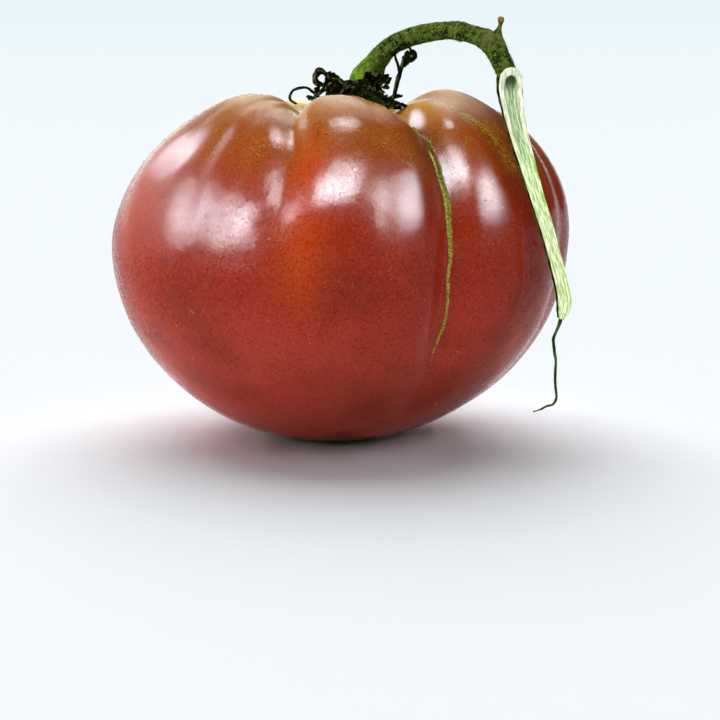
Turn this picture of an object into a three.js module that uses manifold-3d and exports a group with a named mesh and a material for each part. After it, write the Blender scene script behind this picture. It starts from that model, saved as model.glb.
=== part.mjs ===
// A beefsteak tomato as picked, resting on the flat spot under its blossom end.
//
// Five pieces, in millimetres, +Z up, +X to the right and -Y towards the viewer:
//   fruit        the ribbed, flattened fruit, with a corky seam raised along one furrow
//   calyx        the dried sepals, curled up from a small disc in the stem cavity
//   stem         the arched peduncle, with its joint ring, its knuckle and a bud stub
//   vine_strip   the split sliver of vine that came away with the stem
//   bark_thread  the torn fibre that hangs from the end of the sliver
//
// The origin is the middle of the flat spot that the fruit rests on.

import * as THREE from "three";
import { mergeVertices } from "three/addons/utils/BufferGeometryUtils.js";
import Module from "manifold-3d";

const wasm = await Module();
wasm.setup();

// Driving dimensions of the fruit
const BODY = {
  halfWidth: 51.5, // along X, at the widest ring
  halfDepth: 49.0, // along Y, at the widest ring
  widestAt: 43.5, // height of the widest ring above the table
  rise: 38.1, // from the widest ring up to the crown, before the cavity is sunk
  upperFullness: 2.2, // superellipse powers: 2 is an ellipse, more is squarer
  lowerFullness: 1.93,
  sitting: 1.2, // how much of the rounded base the flat spot takes off
  lean: 2.5, // degrees that the stem end leans to the right
  upperSkew: 0.048, // the right shoulder stands fuller than the left one
  lowerSkew: 0.023, // and the left cheek hangs fuller below
  frontSwell: 0.066, // the front lobes stand higher than the back ones
};
const CAVITY = { depth: 12.0, radius: 16.6, steepness: 2.6 };

// Furrows between the lobes. Azimuth is in degrees from the front, positive to the right. Swing
// turns the furrow as it nears the crest, and reach is the lift at which it has half faded.
const FURROWS = [
  { azimuth: -15, swing: -16, depth: 2.9, halfWidth: 7, reach: 25 },
  { azimuth: 11, swing: 0, depth: 0.5, halfWidth: 5, reach: 10 },
  { azimuth: 29, swing: 0, depth: 5.8, halfWidth: 6.8, reach: -35 },
  { azimuth: 52, swing: 0, depth: 0.5, halfWidth: 6, reach: 8 },
  { azimuth: 72, swing: 0, depth: 1.4, halfWidth: 6, reach: -25 },
  { azimuth: 94, swing: 0, depth: 2.6, halfWidth: 7, reach: -5 },
  { azimuth: 118, swing: 0, depth: 1.6, halfWidth: 6, reach: 10 },
  { azimuth: 141, swing: 0, depth: 3.4, halfWidth: 7, reach: -20 },
  { azimuth: 166, swing: 0, depth: 1.2, halfWidth: 6, reach: 20 },
  { azimuth: -174, swing: 0, depth: 3.2, halfWidth: 7, reach: -5 },
  { azimuth: -124, swing: 0, depth: 3.4, halfWidth: 7, reach: -10 },
  { azimuth: -101, swing: 0, depth: 1.5, halfWidth: 6, reach: 15 },
  { azimuth: -79, swing: 0, depth: 0.5, halfWidth: 7, reach: -5 },
  { azimuth: -57, swing: -4, depth: 0.4, halfWidth: 6.5, reach: 0 },
  { azimuth: -41, swing: -6, depth: 0.8, halfWidth: 5, reach: 18 },
  { azimuth: -30, swing: -6, depth: 0.8, halfWidth: 5, reach: 22 },
  // three lobes that stand higher, as furrows of negative depth
  { azimuth: -148, swing: 0, depth: -0.4, halfWidth: 6, reach: 10 },
  { azimuth: -62, swing: 0, depth: -0.6, halfWidth: 20, reach: 40 },
  { azimuth: 65, swing: 0, depth: -1.2, halfWidth: 8.4, reach: 40 },
];
const CREST_DEEPENING = 1.65; // furrows are this share deeper where they cross the crest
const FADE = 35; // degrees of lift either side of its reach over which a furrow fades

// The corky seam that runs down one furrow, in degrees of azimuth and lift
const SEAM = { azimuth: 29, halfWidth: 1.2, height: 0.55, top: 66, bottom: -50 };

// Facets of the fruit: rows up the side, then over the crest, and columns round the rest
const SIDE_ROWS = 22;
const CREST_ROWS = 12;
const CREST_FROM = 50; // degrees of lift
const COLUMNS = 90;
const SEAM_COLUMNS = [-2.4, -1.2, -0.6, 0, 0.6, 1.2, 2.4]; // degrees either side of the seam

// The dried calyx. All that grows from the scar is placed in millimetres from the scar.
const GAP = 0.3; // between neighbouring pieces
const DISC = { radius: 5.8, thickness: 1.6, sides: 24 };
const SEPAL_THICKNESS = 0.8;
const SEPALS = [
  // a long thin curl that loops over to the left
  {
    spine: [[-3.6, -3.2, 1.6], [-5, -5, 4.6], [-6.2, -6.2, 6.6], [-7.2, -6.6, 7.9], [-8.4, -6.9, 8.7],
      [-9.9, -7.2, 8.9], [-11.4, -7.7, 8.5], [-12.4, -8.3, 7.4], [-12.2, -9, 6.4], [-11, -9.6, 5.6]],
    width: [2.4, 1.3, 1, 1, 0.9], across: [-0.4, 1, 0], cup: 0.1,
  },
  // a curled clump beside the stem
  {
    spine: [[-4.4, -0.6, 1.4], [-3.2, -0.8, 5], [-2, -1, 8.6], [-1.8, -1.2, 10.8], [-2.9, -1.6, 11.4],
      [-4.2, -1.8, 11.6], [-5.7, -2, 12], [-7, -2.2, 11.3], [-7.2, -2.4, 9.9], [-6, -2.6, 8.9]],
    width: [3, 2.4, 2.2, 1.8, 1.2], across: [0, 1, 0.2], cup: 0.4,
  },
  // its fellow, arched lower and further left
  {
    spine: [[-4.7, 0.8, 1.4], [-5.6, 0.6, 4.4], [-6.4, 0, 7], [-6.2, -0.8, 8.8], [-5, -1.4, 9.4]],
    width: [3, 2.8, 2.4, 1], across: [0.1, 1, 0], cup: 0.3,
  },
  // a broad crumpled one before the stem
  {
    spine: [[2.6, -4.7, 1.4], [3, -6.4, 4.6], [4, -7.4, 8], [5.6, -8, 10.4], [7.6, -8.4, 11.4]],
    width: [4, 5, 5.4, 4.8, 2.4], across: [1, 0.3, 0.1], cup: 0.5,
  },
  // one that lies over towards the seam
  {
    spine: [[3.9, -4, 1.5], [5.6, -7, 4], [7.4, -10.4, 5], [9.2, -13.4, 5], [11.8, -15.2, 5]],
    width: [3, 3.4, 2.8, 2.2, 1.2], across: [0.8, 1, 0], cup: 0.3,
  },
  // an upright one that ends in a club
  {
    spine: [[5, -2.4, 1.5], [8, -3.8, 4.2], [10.2, -5, 6.6], [10.9, -6.4, 9.6], [11.7, -7.6, 12.4],
      [12.3, -8.3, 14.2], [13, -8.9, 15.6], [14.5, -9.1, 15.9]],
    width: [2, 1.4, 1.3, 1.3, 1.4, 2.6, 2], across: [0.6, 0.9, 0], cup: 0,
  },
  // the thin tendril that forks from it and hooks over
  {
    spine: [[11.6, -7.5, 12.3], [11.1, -8.6, 14.2], [10.6, -9.6, 15.6], [10.5, -10.8, 16.8],
      [11, -11.8, 17.8], [12.4, -12.3, 18.5], [13.4, -12.3, 18.1], [14, -11.7, 17.1]],
    width: [0.9, 0.8, 0.8], across: [1, 0, 0], cup: 0,
  },
  // three at the back, two laid over the wall of the cavity and one curled up
  {
    spine: [[3.7, 3.8, 1.4], [6.4, 6.4, 4], [9.4, 9, 5.6], [12.4, 11.2, 6]],
    width: [3, 3.6, 2.6, 1], across: [-1, 1, 0], cup: 0.3,
  },
  {
    spine: [[-2.8, 4.5, 1.4], [-5, 7.2, 3.6], [-7.2, 10, 5.2], [-9, 12.6, 6]],
    width: [3, 3.4, 2.4, 1], across: [1, 0.8, 0], cup: 0.3,
  },
  {
    spine: [[0.6, 5, 1.4], [1, 7.4, 3.2], [1.6, 9.6, 6], [1.4, 9.8, 7.8], [0.8, 8.8, 8.2]],
    width: [3, 3, 2.4, 1.6, 1], across: [1, 0, 0], cup: 0.3,
  },
];

// The stem: its centre line and its radius at each of those points
const STEM = [
  { at: [2.0, 0.2, 3.1], radius: 2.8 },
  { at: [2.1, 0.2, 4.0], radius: 2.9 },
  { at: [3.2, 0.1, 7.0], radius: 3.4 },
  { at: [4.6, -0.7, 10.8], radius: 3.7 },
  { at: [6.3, -2.5, 14.0], radius: 2.5 },
  { at: [9.0, -5.0, 17.4], radius: 2.1 },
  { at: [12.6, -8.5, 19.5], radius: 2.05 },
  { at: [16.5, -12.5, 20.8], radius: 2.0 },
  { at: [21.0, -16.5, 21.6], radius: 1.9 },
  { at: [23.0, -18.0, 21.65], radius: 1.9 },
  { at: [24.3, -19.0, 21.5], radius: 2.15 },
  { at: [25.7, -20.1, 21.2], radius: 1.9 },
  { at: [28.1, -22.0, 20.5], radius: 2.0 },
  { at: [30.9, -24.5, 19.0], radius: 2.6 },
  { at: [32.3, -26.0, 16.4], radius: 2.2 },
  { at: [33.3, -27.0, 14.4], radius: 2.15 },
  { at: [33.9, -27.5, 12.9], radius: 2.1 },
];
const BUD_STUB = [
  { at: [31.5, -24.5, 19.4], radius: 0.8 },
  { at: [31.9, -24.5, 21.4], radius: 0.65 },
  { at: [32.3, -24.5, 23.2], radius: 0.65 },
  { at: [32.5, -24.5, 24.0], radius: 0.95 },
  { at: [32.6, -24.5, 24.7], radius: 0.6 },
];

// The sliver of vine: a gutter that flattens as it runs down. Hollow is how deep the gutter is.
const STRIP = [
  { at: [34.1, -27.9, 12.0], width: 4.2, hollow: 1.5, wall: 1.3 },
  { at: [34.3, -28.2, 10.0], width: 4.9, hollow: 1.8, wall: 1.3 },
  { at: [34.8, -29.5, 6.6], width: 4.5, hollow: 1.7, wall: 1.3 },
  { at: [36.0, -31.5, 1.0], width: 3.8, hollow: 1.3, wall: 1.2 },
  { at: [37.7, -33.0, -4.9], width: 3.3, hollow: 0.8, wall: 1.2 },
  { at: [39.6, -33.5, -11.2], width: 2.9, hollow: 0.5, wall: 1.2 },
  { at: [41.8, -33.0, -17.9], width: 2.7, hollow: 0.3, wall: 1.1 },
  { at: [43.8, -32.0, -24.6], width: 2.6, hollow: 0.3, wall: 1.1 },
  { at: [45.6, -30.5, -31.2], width: 2.6, hollow: 0.2, wall: 1.1 },
  { at: [46.3, -30.0, -34.9], width: 2.8, hollow: 0.2, wall: 1.1 },
  { at: [46.1, -29.6, -37.2], width: 2.2, hollow: 0.1, wall: 1.0 },
  { at: [45.7, -29.5, -38.8], width: 0.9, hollow: 0, wall: 0.8 },
];
const THREAD = [
  { at: [45.6, -29.5, -39.3], radius: 0.4 },
  { at: [44.2, -29.5, -43.2], radius: 0.38 },
  { at: [44.7, -30.0, -47.9], radius: 0.36 },
  { at: [44.6, -31.0, -52.9], radius: 0.34 },
  { at: [44.8, -31.0, -55.9], radius: 0.34 },
  { at: [42.9, -30.5, -57.6], radius: 0.32 },
  { at: [40.0, -30.0, -58.9], radius: 0.3 },
];

const COLOURS = {
  fruit: 0x8e3122,
  calyx: 0x3d3a20,
  stem: 0x4a6326,
  vine_strip: 0xb9cb8b,
  bark_thread: 0x3a3f22,
};

const radians = THREE.MathUtils.degToRad;
const smooth = THREE.MathUtils.smoothstep;
const lerp = THREE.MathUtils.lerp;

// How far the furrows draw the skin in at a place. Ring is the share of the full width there.
function furrowDepth(azimuth, lift, ring) {
  let depth = 0;
  for (const furrow of FURROWS) {
    const line = furrow.azimuth + furrow.swing * smooth(lift, 35, 75);
    const off = THREE.MathUtils.euclideanModulo(azimuth - line + 180, 360) - 180;
    const valley = 1 / (1 + Math.abs(off / furrow.halfWidth) ** 1.8);
    depth += furrow.depth * valley * smooth(lift, furrow.reach - FADE, furrow.reach + FADE);
  }
  return depth * (1 + CREST_DEEPENING * smooth(lift, 45, 75)) * smooth(ring, 0.08, 0.34);
}

// How far the seam stands out of its furrow
function seamHeight(azimuth, lift, ring) {
  const off = Math.abs(azimuth - SEAM.azimuth) / (SEAM.halfWidth * seamSpread(ring));
  const ends = smooth(lift, SEAM.bottom, SEAM.bottom + 25) * (1 - smooth(lift, SEAM.top - 8, SEAM.top));
  return off < 1 ? SEAM.height * Math.cos((off * Math.PI) / 2) * ends : 0;
}

// The seam keeps its width in millimetres as the fruit narrows towards the crest
function seamSpread(ring) {
  return THREE.MathUtils.clamp(1 / Math.max(ring, 0.1), 1, 1.8);
}

// Share of the fruit's full width at a lift, which runs from -90 at the base to 90 at the scar
function ringAt(lift) {
  const fullness = lift > 0 ? BODY.upperFullness : BODY.lowerFullness;
  return Math.abs(Math.cos(radians(lift))) ** (2 / fullness);
}

// A point of the skin
function skinPoint(azimuth, lift) {
  const upper = lift > 0;
  const fullness = upper ? BODY.upperFullness : BODY.lowerFullness;
  const reach = upper ? BODY.rise : BODY.widestAt + BODY.sitting;
  const ring = ringAt(lift);
  const right = Math.sin(radians(azimuth));
  const front = Math.cos(radians(azimuth));
  const height = Math.sign(lift) * reach * Math.abs(Math.sin(radians(lift))) ** (2 / fullness);
  const p = new THREE.Vector3(BODY.halfWidth * ring * right, -BODY.halfDepth * ring * front, height);
  p.setLength(p.length() - furrowDepth(azimuth, lift, ring) + seamHeight(azimuth, lift, ring));
  const skew = (upper ? BODY.upperSkew : BODY.lowerSkew) * Math.sin(radians(2 * lift)) * right;
  const swell = upper ? BODY.frontSwell * front * Math.sin(radians(lift)) * smooth(ring, 0.05, 0.4) : 0;
  p.multiplyScalar(1 + skew + swell);
  if (upper) {
    p.z -= CAVITY.depth * Math.exp(-(((ring * BODY.halfWidth) / CAVITY.radius) ** CAVITY.steepness));
  }
  p.z += BODY.widestAt;
  return p.applyAxisAngle(new THREE.Vector3(0, 1, 0), radians(BODY.lean));
}

// The lift at which the skin meets the table, found by halving
function footLift(azimuth) {
  let under = -89;
  let over = -45;
  for (let i = 0; i < 30; i++) {
    const middle = (under + over) / 2;
    if (skinPoint(azimuth, middle).z < 0) {
      under = middle;
    } else {
      over = middle;
    }
  }
  return over;
}

// Columns beside a furrow that swings far are turned with it, so that facets follow its line
function turnWithFurrows(azimuth, lift) {
  let turned = azimuth;
  for (const furrow of FURROWS.filter((f) => Math.abs(f.swing) > 10)) {
    const off = THREE.MathUtils.euclideanModulo(azimuth - furrow.azimuth + 180, 360) - 180;
    const share = Math.abs(off) < 40 ? 0.5 + 0.5 * Math.cos((Math.PI * off) / 40) : 0;
    turned += furrow.swing * smooth(lift, 35, 75) * share;
  }
  return turned;
}

function closedGeometry(points, faces) {
  const flat = points.flatMap((p) => [p.x, p.y, p.z]);
  return new THREE.BufferGeometry()
    .setAttribute("position", new THREE.Float32BufferAttribute(flat, 3))
    .setIndex(faces.flat());
}

// The fruit: a grid of columns and rows over the skin, with a fan at the scar and a flat one below
function fruitGeometry() {
  const clear = 6; // degrees kept either side of the seam for its own columns
  const columns = SEAM_COLUMNS.map((off) => ({ off, spread: true }));
  for (let i = 0; i <= COLUMNS; i++) {
    columns.push({ off: lerp(clear, 360 - clear, i / COLUMNS), spread: false });
  }
  const rows = SIDE_ROWS + CREST_ROWS;
  const points = [];
  for (const { off, spread } of columns) {
    const foot = footLift(SEAM.azimuth + off);
    for (let row = 0; row < rows; row++) {
      const side = lerp(foot, CREST_FROM, row / SIDE_ROWS);
      const crest = lerp(CREST_FROM, 90, (row - SIDE_ROWS) / CREST_ROWS);
      const lift = row <= SIDE_ROWS ? side : crest;
      const turn = spread ? off * seamSpread(ringAt(lift)) : off;
      const p = skinPoint(turnWithFurrows(SEAM.azimuth + turn, lift), lift);
      if (row === 0) {
        p.z = 0;
      }
      points.push(p);
    }
  }
  const base = points.push(new THREE.Vector3(0, 0, 0)) - 1;
  const scar = points.push(skinPoint(0, 90)) - 1;
  const faces = [];
  for (let i = 0; i < columns.length; i++) {
    const here = i * rows;
    const next = ((i + 1) % columns.length) * rows;
    for (let row = 0; row + 1 < rows; row++) {
      faces.push([here + row, next + row, next + row + 1]);
      faces.push([here + row, next + row + 1, here + row + 1]);
    }
    faces.push([next, here, base]);
    faces.push([here + rows - 1, next + rows - 1, scar]);
  }
  return closedGeometry(points, faces);
}

// A closed skin over a row of rings. Each ring runs counter-clockwise as seen from the far end.
function loft(rings) {
  const count = rings[0].length;
  const last = (rings.length - 1) * count;
  const faces = [];
  for (let r = 0; r < last; r += count) {
    for (let i = 0; i < count; i++) {
      const j = (i + 1) % count;
      faces.push([r + i, r + j, r + count + j], [r + i, r + count + j, r + count + i]);
    }
  }
  for (let i = 0; i < count / 2 - 1; i++) {
    const j = count - 1 - i;
    faces.push([i, j, j - 1], [i, j - 1, i + 1]);
    faces.push([last + i, last + i + 1, last + j - 1], [last + i, last + j - 1, last + j]);
  }
  return closedGeometry(rings.flat(), faces);
}

function curveThrough(points) {
  return new THREE.CatmullRomCurve3(points.map((p) => new THREE.Vector3(...p)), false, "centripetal");
}

// The value at share t of a list of values spaced evenly from 0 to 1
function along(values, t) {
  const place = t * (values.length - 1);
  const i = Math.min(Math.floor(place), values.length - 2);
  return lerp(values[i], values[i + 1], place - i);
}

// A round stalk through a list of { at, radius }
function stalk(stations, steps, sides) {
  const curve = curveThrough(stations.map((s) => s.at));
  const radii = stations.map((s) => s.radius);
  const frames = curve.computeFrenetFrames(steps, false);
  const rings = [];
  for (let k = 0; k <= steps; k++) {
    const u = curve.getUtoTmapping(k / steps);
    const centre = curve.getPoint(u);
    const ring = [];
    for (let i = 0; i < sides; i++) {
      const angle = (2 * Math.PI * i) / sides;
      const p = centre.clone();
      p.addScaledVector(frames.normals[k], along(radii, u) * Math.cos(angle));
      p.addScaledVector(frames.binormals[k], along(radii, u) * Math.sin(angle));
      ring.push(p);
    }
    rings.push(ring);
  }
  return loft(rings);
}

// A ring across a ribbon: outline gives [sideways, outwards] pairs in millimetres
function ribbonRing(curve, u, across, outline) {
  const tangent = curve.getTangent(u);
  const side = new THREE.Vector3(...across);
  side.addScaledVector(tangent, -side.dot(tangent)).normalize();
  const out = new THREE.Vector3().crossVectors(tangent, side);
  const centre = curve.getPoint(u);
  return outline.map(([a, b]) => centre.clone().addScaledVector(side, a).addScaledVector(out, b));
}

// Bring a piece that is drawn about the scar to its place
const scar = skinPoint(0, 90);
function fromScar(geometry) {
  return geometry.translate(scar.x, scar.y, scar.z);
}

// The solid within a closed geometry, whose normals and texture places are dropped
function solidOf(geometry) {
  const bare = geometry.clone();
  bare.deleteAttribute("normal");
  bare.deleteAttribute("uv");
  const merged = mergeVertices(bare, 1e-4);
  return new wasm.Manifold(new wasm.Mesh({
    numProp: 3,
    vertProperties: new Float32Array(merged.attributes.position.array),
    triVerts: new Uint32Array(merged.index.array),
  }));
}

function geometryOf(solid) {
  const mesh = solid.getMesh();
  return new THREE.BufferGeometry()
    .setAttribute("position", new THREE.BufferAttribute(new Float32Array(mesh.vertProperties), 3))
    .setIndex(new THREE.BufferAttribute(new Uint32Array(mesh.triVerts), 1));
}

const group = new THREE.Group();
function place(name, geometry) {
  geometry.computeVertexNormals();
  const material = new THREE.MeshStandardMaterial({
    color: COLOURS[name],
    roughness: name === "fruit" ? 0.35 : 0.8,
    flatShading: false,
  });
  const mesh = new THREE.Mesh(geometry, material);
  mesh.name = name;
  group.add(mesh);
  return mesh;
}

// Fruit
const fruit = place("fruit", fruitGeometry());
fruit.updateMatrixWorld(true);

// Height of the skin as seen from above, over the scar, at a place drawn about the scar
function skinOver(x, y) {
  const start = new THREE.Vector3(x + scar.x, y + scar.y, 200);
  const ray = new THREE.Raycaster(start, new THREE.Vector3(0, 0, -1));
  return ray.intersectObject(fruit)[0].point.z - scar.z;
}

// The highest skin close to a place, so that flat facets clear the lobes between their corners
function highestNear(x, y, away) {
  return Math.max(skinOver(x + away, y), skinOver(x - away, y), skinOver(x, y + away), skinOver(x, y - away));
}

// Calyx: a disc bedded on the cavity floor, with the sepals rooted in it
function discGeometry() {
  const disc = new THREE.CylinderGeometry(DISC.radius - 0.5, DISC.radius, DISC.thickness, DISC.sides);
  disc.rotateX(Math.PI / 2).translate(0, 0, GAP + DISC.thickness / 2);
  const spots = disc.attributes.position;
  for (let i = 0; i < spots.count; i++) {
    spots.setZ(i, spots.getZ(i) + highestNear(spots.getX(i), spots.getY(i), 1));
  }
  return fromScar(disc);
}

// A sepal: a cupped ribbon whose rings are raised where they would touch the skin
function sepalGeometry({ spine, width, across, cup }) {
  const curve = curveThrough(spine);
  const steps = spine.length * 2;
  const rings = [];
  for (let k = 0; k <= steps; k++) {
    const u = k / steps;
    const half = along(width, u) / 2;
    const thick = SEPAL_THICKNESS / 2;
    const ring = ribbonRing(curve, u, across, [
      [-half, cup - thick], [0, -thick], [half, cup - thick],
      [half, cup + thick], [0, thick], [-half, cup + thick],
    ]);
    const short = ring.map((p) => highestNear(p.x, p.y, 0.4) + GAP - p.z);
    const rise = Math.max(0, ...short);
    rings.push(ring.map((p) => p.setZ(p.z + rise)));
  }
  return fromScar(loft(rings));
}

let calyx = solidOf(discGeometry());
for (const sepal of SEPALS) {
  calyx = calyx.add(solidOf(sepalGeometry(sepal)));
}
place("calyx", geometryOf(calyx));

// Stem, with the stub of a bud on its knuckle
const stem = solidOf(fromScar(stalk(STEM, 40, 10)));
const stub = solidOf(fromScar(stalk(BUD_STUB, 6, 6)));
place("stem", geometryOf(stem.add(stub)));

// Vine strip
function stripGeometry() {
  const curve = curveThrough(STRIP.map((s) => s.at));
  const steps = 26;
  const rings = [];
  for (let k = 0; k <= steps; k++) {
    const u = k / steps;
    const half = along(STRIP.map((s) => s.width), u) / 2;
    const hollow = along(STRIP.map((s) => s.hollow), u);
    const wall = along(STRIP.map((s) => s.wall), u);
    const shares = [-1, -0.7, -0.25, 0.25, 0.7, 1];
    const back = shares.map((s) => [half * s, -hollow * (1 - s * s)]);
    const face = back.map(([a, b]) => [a, b + wall]).reverse();
    rings.push(ribbonRing(curve, u, [1, 0, 0.2], [...back, ...face]));
  }
  return fromScar(loft(rings));
}
place("vine_strip", stripGeometry());

// Bark thread
place("bark_thread", fromScar(stalk(THREAD, 22, 6)));

export default group;
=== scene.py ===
# %% [markdown]
# # A ribbed beefsteak tomato with its dry calyx, arched stem and a torn sliver of vine
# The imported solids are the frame: they give the size and the place of every piece. This lesson
# grows a finer skin, finer sepals, a downy stem and a fibrous sliver over them, one cell at a time.
# All shapes are worked out in millimetres, because that is how a fruit is measured, and are turned
# into metres only when a mesh is made.

# %% Load the frame and keep its box
import math
import random

import bpy
import numpy as np
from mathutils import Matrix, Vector, noise


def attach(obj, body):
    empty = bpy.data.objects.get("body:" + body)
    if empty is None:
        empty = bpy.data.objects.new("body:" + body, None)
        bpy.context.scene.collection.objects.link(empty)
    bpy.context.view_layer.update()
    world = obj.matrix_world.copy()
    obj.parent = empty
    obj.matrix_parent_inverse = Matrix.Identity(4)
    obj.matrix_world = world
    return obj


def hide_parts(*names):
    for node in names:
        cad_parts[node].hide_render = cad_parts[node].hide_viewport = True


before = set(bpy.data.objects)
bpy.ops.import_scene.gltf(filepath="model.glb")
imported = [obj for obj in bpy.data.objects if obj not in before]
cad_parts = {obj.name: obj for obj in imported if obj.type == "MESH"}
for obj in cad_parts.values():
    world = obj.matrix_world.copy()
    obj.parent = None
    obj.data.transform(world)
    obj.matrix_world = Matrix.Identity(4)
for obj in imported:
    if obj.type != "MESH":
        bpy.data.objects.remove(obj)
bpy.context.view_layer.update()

MM = 0.001

# %% [markdown]
# ## The camera
# A long lens from half a metre, a little above the fruit, gives the flat, calm view of a still
# life. The camera looks at a point right of the middle and low down, so that the fruit sits high
# and to the left in a square picture.

# %% The camera
aim = Vector((5.95, 0.0, 16.83)) * MM
camera_height_angle = math.radians(9.5)
camera_distance = 0.55
step_back = Vector((0.0, -math.cos(camera_height_angle), math.sin(camera_height_angle)))
lens = bpy.data.cameras.new("still_life_lens")
lens.sensor_width = 36.0
lens.lens = 121.7
lens.clip_start = 0.01
camera = bpy.data.objects.new("still_life_camera", lens)
camera.location = aim + step_back * camera_distance
camera.rotation_euler = (-step_back).to_track_quat("-Z", "Y").to_euler()
bpy.context.scene.collection.objects.link(camera)
bpy.context.scene.camera = camera
print("camera at", [round(v, 3) for v in camera.location])

# %% [markdown]
# ## The form of the fruit
# A beefsteak tomato is a flattened ball, drawn in along furrows where its chambers meet and sunk
# round the stem. It could be sculpted by hand, but a formula keeps it in step with the solid: a
# superellipse turned about the stem, with a valley for every furrow and a bowl for the cavity.
# Azimuth is measured from the front towards the right, and lift runs from -90 at the base to 90 at
# the stem scar.

# %% The form of the fruit
half_width, half_depth = 51.5, 49.0
widest_at, rise, sitting = 43.5, 38.1, 1.2
upper_fullness, lower_fullness = 2.2, 1.93
lean = math.radians(2.5)
upper_skew, lower_skew, front_swell = 0.048, 0.023, 0.066
cavity_depth, cavity_radius, cavity_steepness = 12.0, 16.6, 2.6
crest_deepening = 1.65

seam_line = 29
left_line, left_swing = -15, -16

# azimuth, swing near the crest, depth, half width in degrees, lift at which it has half faded
furrows = [
    (left_line, left_swing, 2.9, 7.0, 25), (11, 0, 0.5, 5.0, 10), (seam_line, 0, 5.8, 6.8, -35),
    (52, 0, 0.5, 6.0, 8), (72, 0, 1.4, 6.0, -25), (94, 0, 2.6, 7.0, -5),
    (118, 0, 1.6, 6.0, 10), (141, 0, 3.4, 7.0, -20), (166, 0, 1.2, 6.0, 20),
    (-174, 0, 3.2, 7.0, -5), (-148, 0, -0.4, 6.0, 10), (-124, 0, 3.4, 7.0, -10),
    (-101, 0, 1.5, 6.0, 15), (-79, 0, 0.5, 7.0, -5), (-57, -4, 0.4, 6.5, 0),
    (-41, -6, 0.8, 5.0, 18), (-30, -6, 0.8, 5.0, 22),
    (-62, 0, -0.6, 20.0, 40), (65, 0, -1.2, 8.4, 40),
]


def smooth(x, low, high):
    t = np.clip((x - low) / (high - low), 0.0, 1.0)
    return t * t * (3.0 - 2.0 * t)


def turned_by(azimuth, line):
    return (azimuth - line + 180.0) % 360.0 - 180.0


def ring_at(lift):
    fullness = np.where(lift > 0, upper_fullness, lower_fullness)
    return np.abs(np.cos(np.radians(lift))) ** (2.0 / fullness)


def skin(azimuth, lift):
    """Points of the skin in millimetres, for arrays of azimuth and lift in degrees."""
    azimuth, lift = np.broadcast_arrays(np.asarray(azimuth, float), np.asarray(lift, float))
    upper = lift > 0
    fullness = np.where(upper, upper_fullness, lower_fullness)
    reach = np.where(upper, rise, widest_at + sitting)
    ring = ring_at(lift)
    right, front = np.sin(np.radians(azimuth)), np.cos(np.radians(azimuth))
    sine = np.sin(np.radians(lift))
    x = half_width * ring * right
    y = -half_depth * ring * front
    z = np.sign(lift) * reach * np.abs(sine) ** (2.0 / fullness)
    draw = np.zeros_like(x)
    for line, swing, depth, half, fade in furrows:
        off = turned_by(azimuth, line + swing * smooth(lift, 35, 75))
        draw += depth / (1 + np.abs(off / half) ** 1.8) * smooth(lift, fade - 35, fade + 35)
    draw *= (1 + crest_deepening * smooth(lift, 45, 75)) * smooth(ring, 0.08, 0.34)
    size = np.sqrt(x * x + y * y + z * z)
    keep = 1 - draw / np.maximum(size, 1.0)
    keep *= (1 + np.where(upper, upper_skew, lower_skew) * np.sin(np.radians(2 * lift)) * right
             + upper * front_swell * front * sine * smooth(ring, 0.05, 0.4))
    x, y, z = x * keep, y * keep, z * keep
    bowl = cavity_depth * np.exp(-(ring * half_width / cavity_radius) ** cavity_steepness)
    z = z - upper * bowl + widest_at
    x, z = x * math.cos(lean) + z * math.sin(lean), z * math.cos(lean) - x * math.sin(lean)
    return np.stack([x, y, z], -1)


scar = skin(0, 90)
print("stem scar at", scar.round(2))

# %% [markdown]
# ## From points to meshes
# Two kinds of grid make nearly everything here: one that closes round the fruit, and a loft that
# closes round a row of rings, for all that is long and thin. Both store a few numbers on their points,
# such as how far up the fruit a point lies, because the finishes read them later.


# %% Meshes and slow waves
def make_piece(name, points, faces, values=None):
    mesh = bpy.data.meshes.new(name)
    mesh.from_pydata((np.asarray(points, float) * MM).tolist(), [], faces)
    mesh.validate()
    mesh.shade_smooth()
    for key, numbers in (values or {}).items():
        layer = mesh.attributes.new(key, "FLOAT", "POINT")
        layer.data.foreach_set("value", np.asarray(numbers, dtype=np.float32).ravel())
    piece = bpy.data.objects.new(name, mesh)
    bpy.context.scene.collection.objects.link(piece)
    return piece


def waves(points, size, seed=0.0):
    """Slow noise from -1 to 1 at each point; size is the width of a wave in millimetres."""
    shift = Vector((seed, seed * 0.7, -seed))
    flat = np.asarray(points, float).reshape(-1, 3) / size
    heights = [noise.noise(Vector(p) + shift) for p in flat]
    return np.array(heights).reshape(np.asarray(points).shape[:-1])


# %% [markdown]
# ## The skin
# The grid has most of its columns spread evenly, some more beside the seam, and all of them turned
# with the furrow that swings to the left, so that its bottom stays a clean line. Real skin is
# never quite true: slow waves of a fifth of a millimetre break up the highlights. Where the fruit
# sits, the base is eased into a flat spot, with a dimple for the blossom scar.

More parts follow.
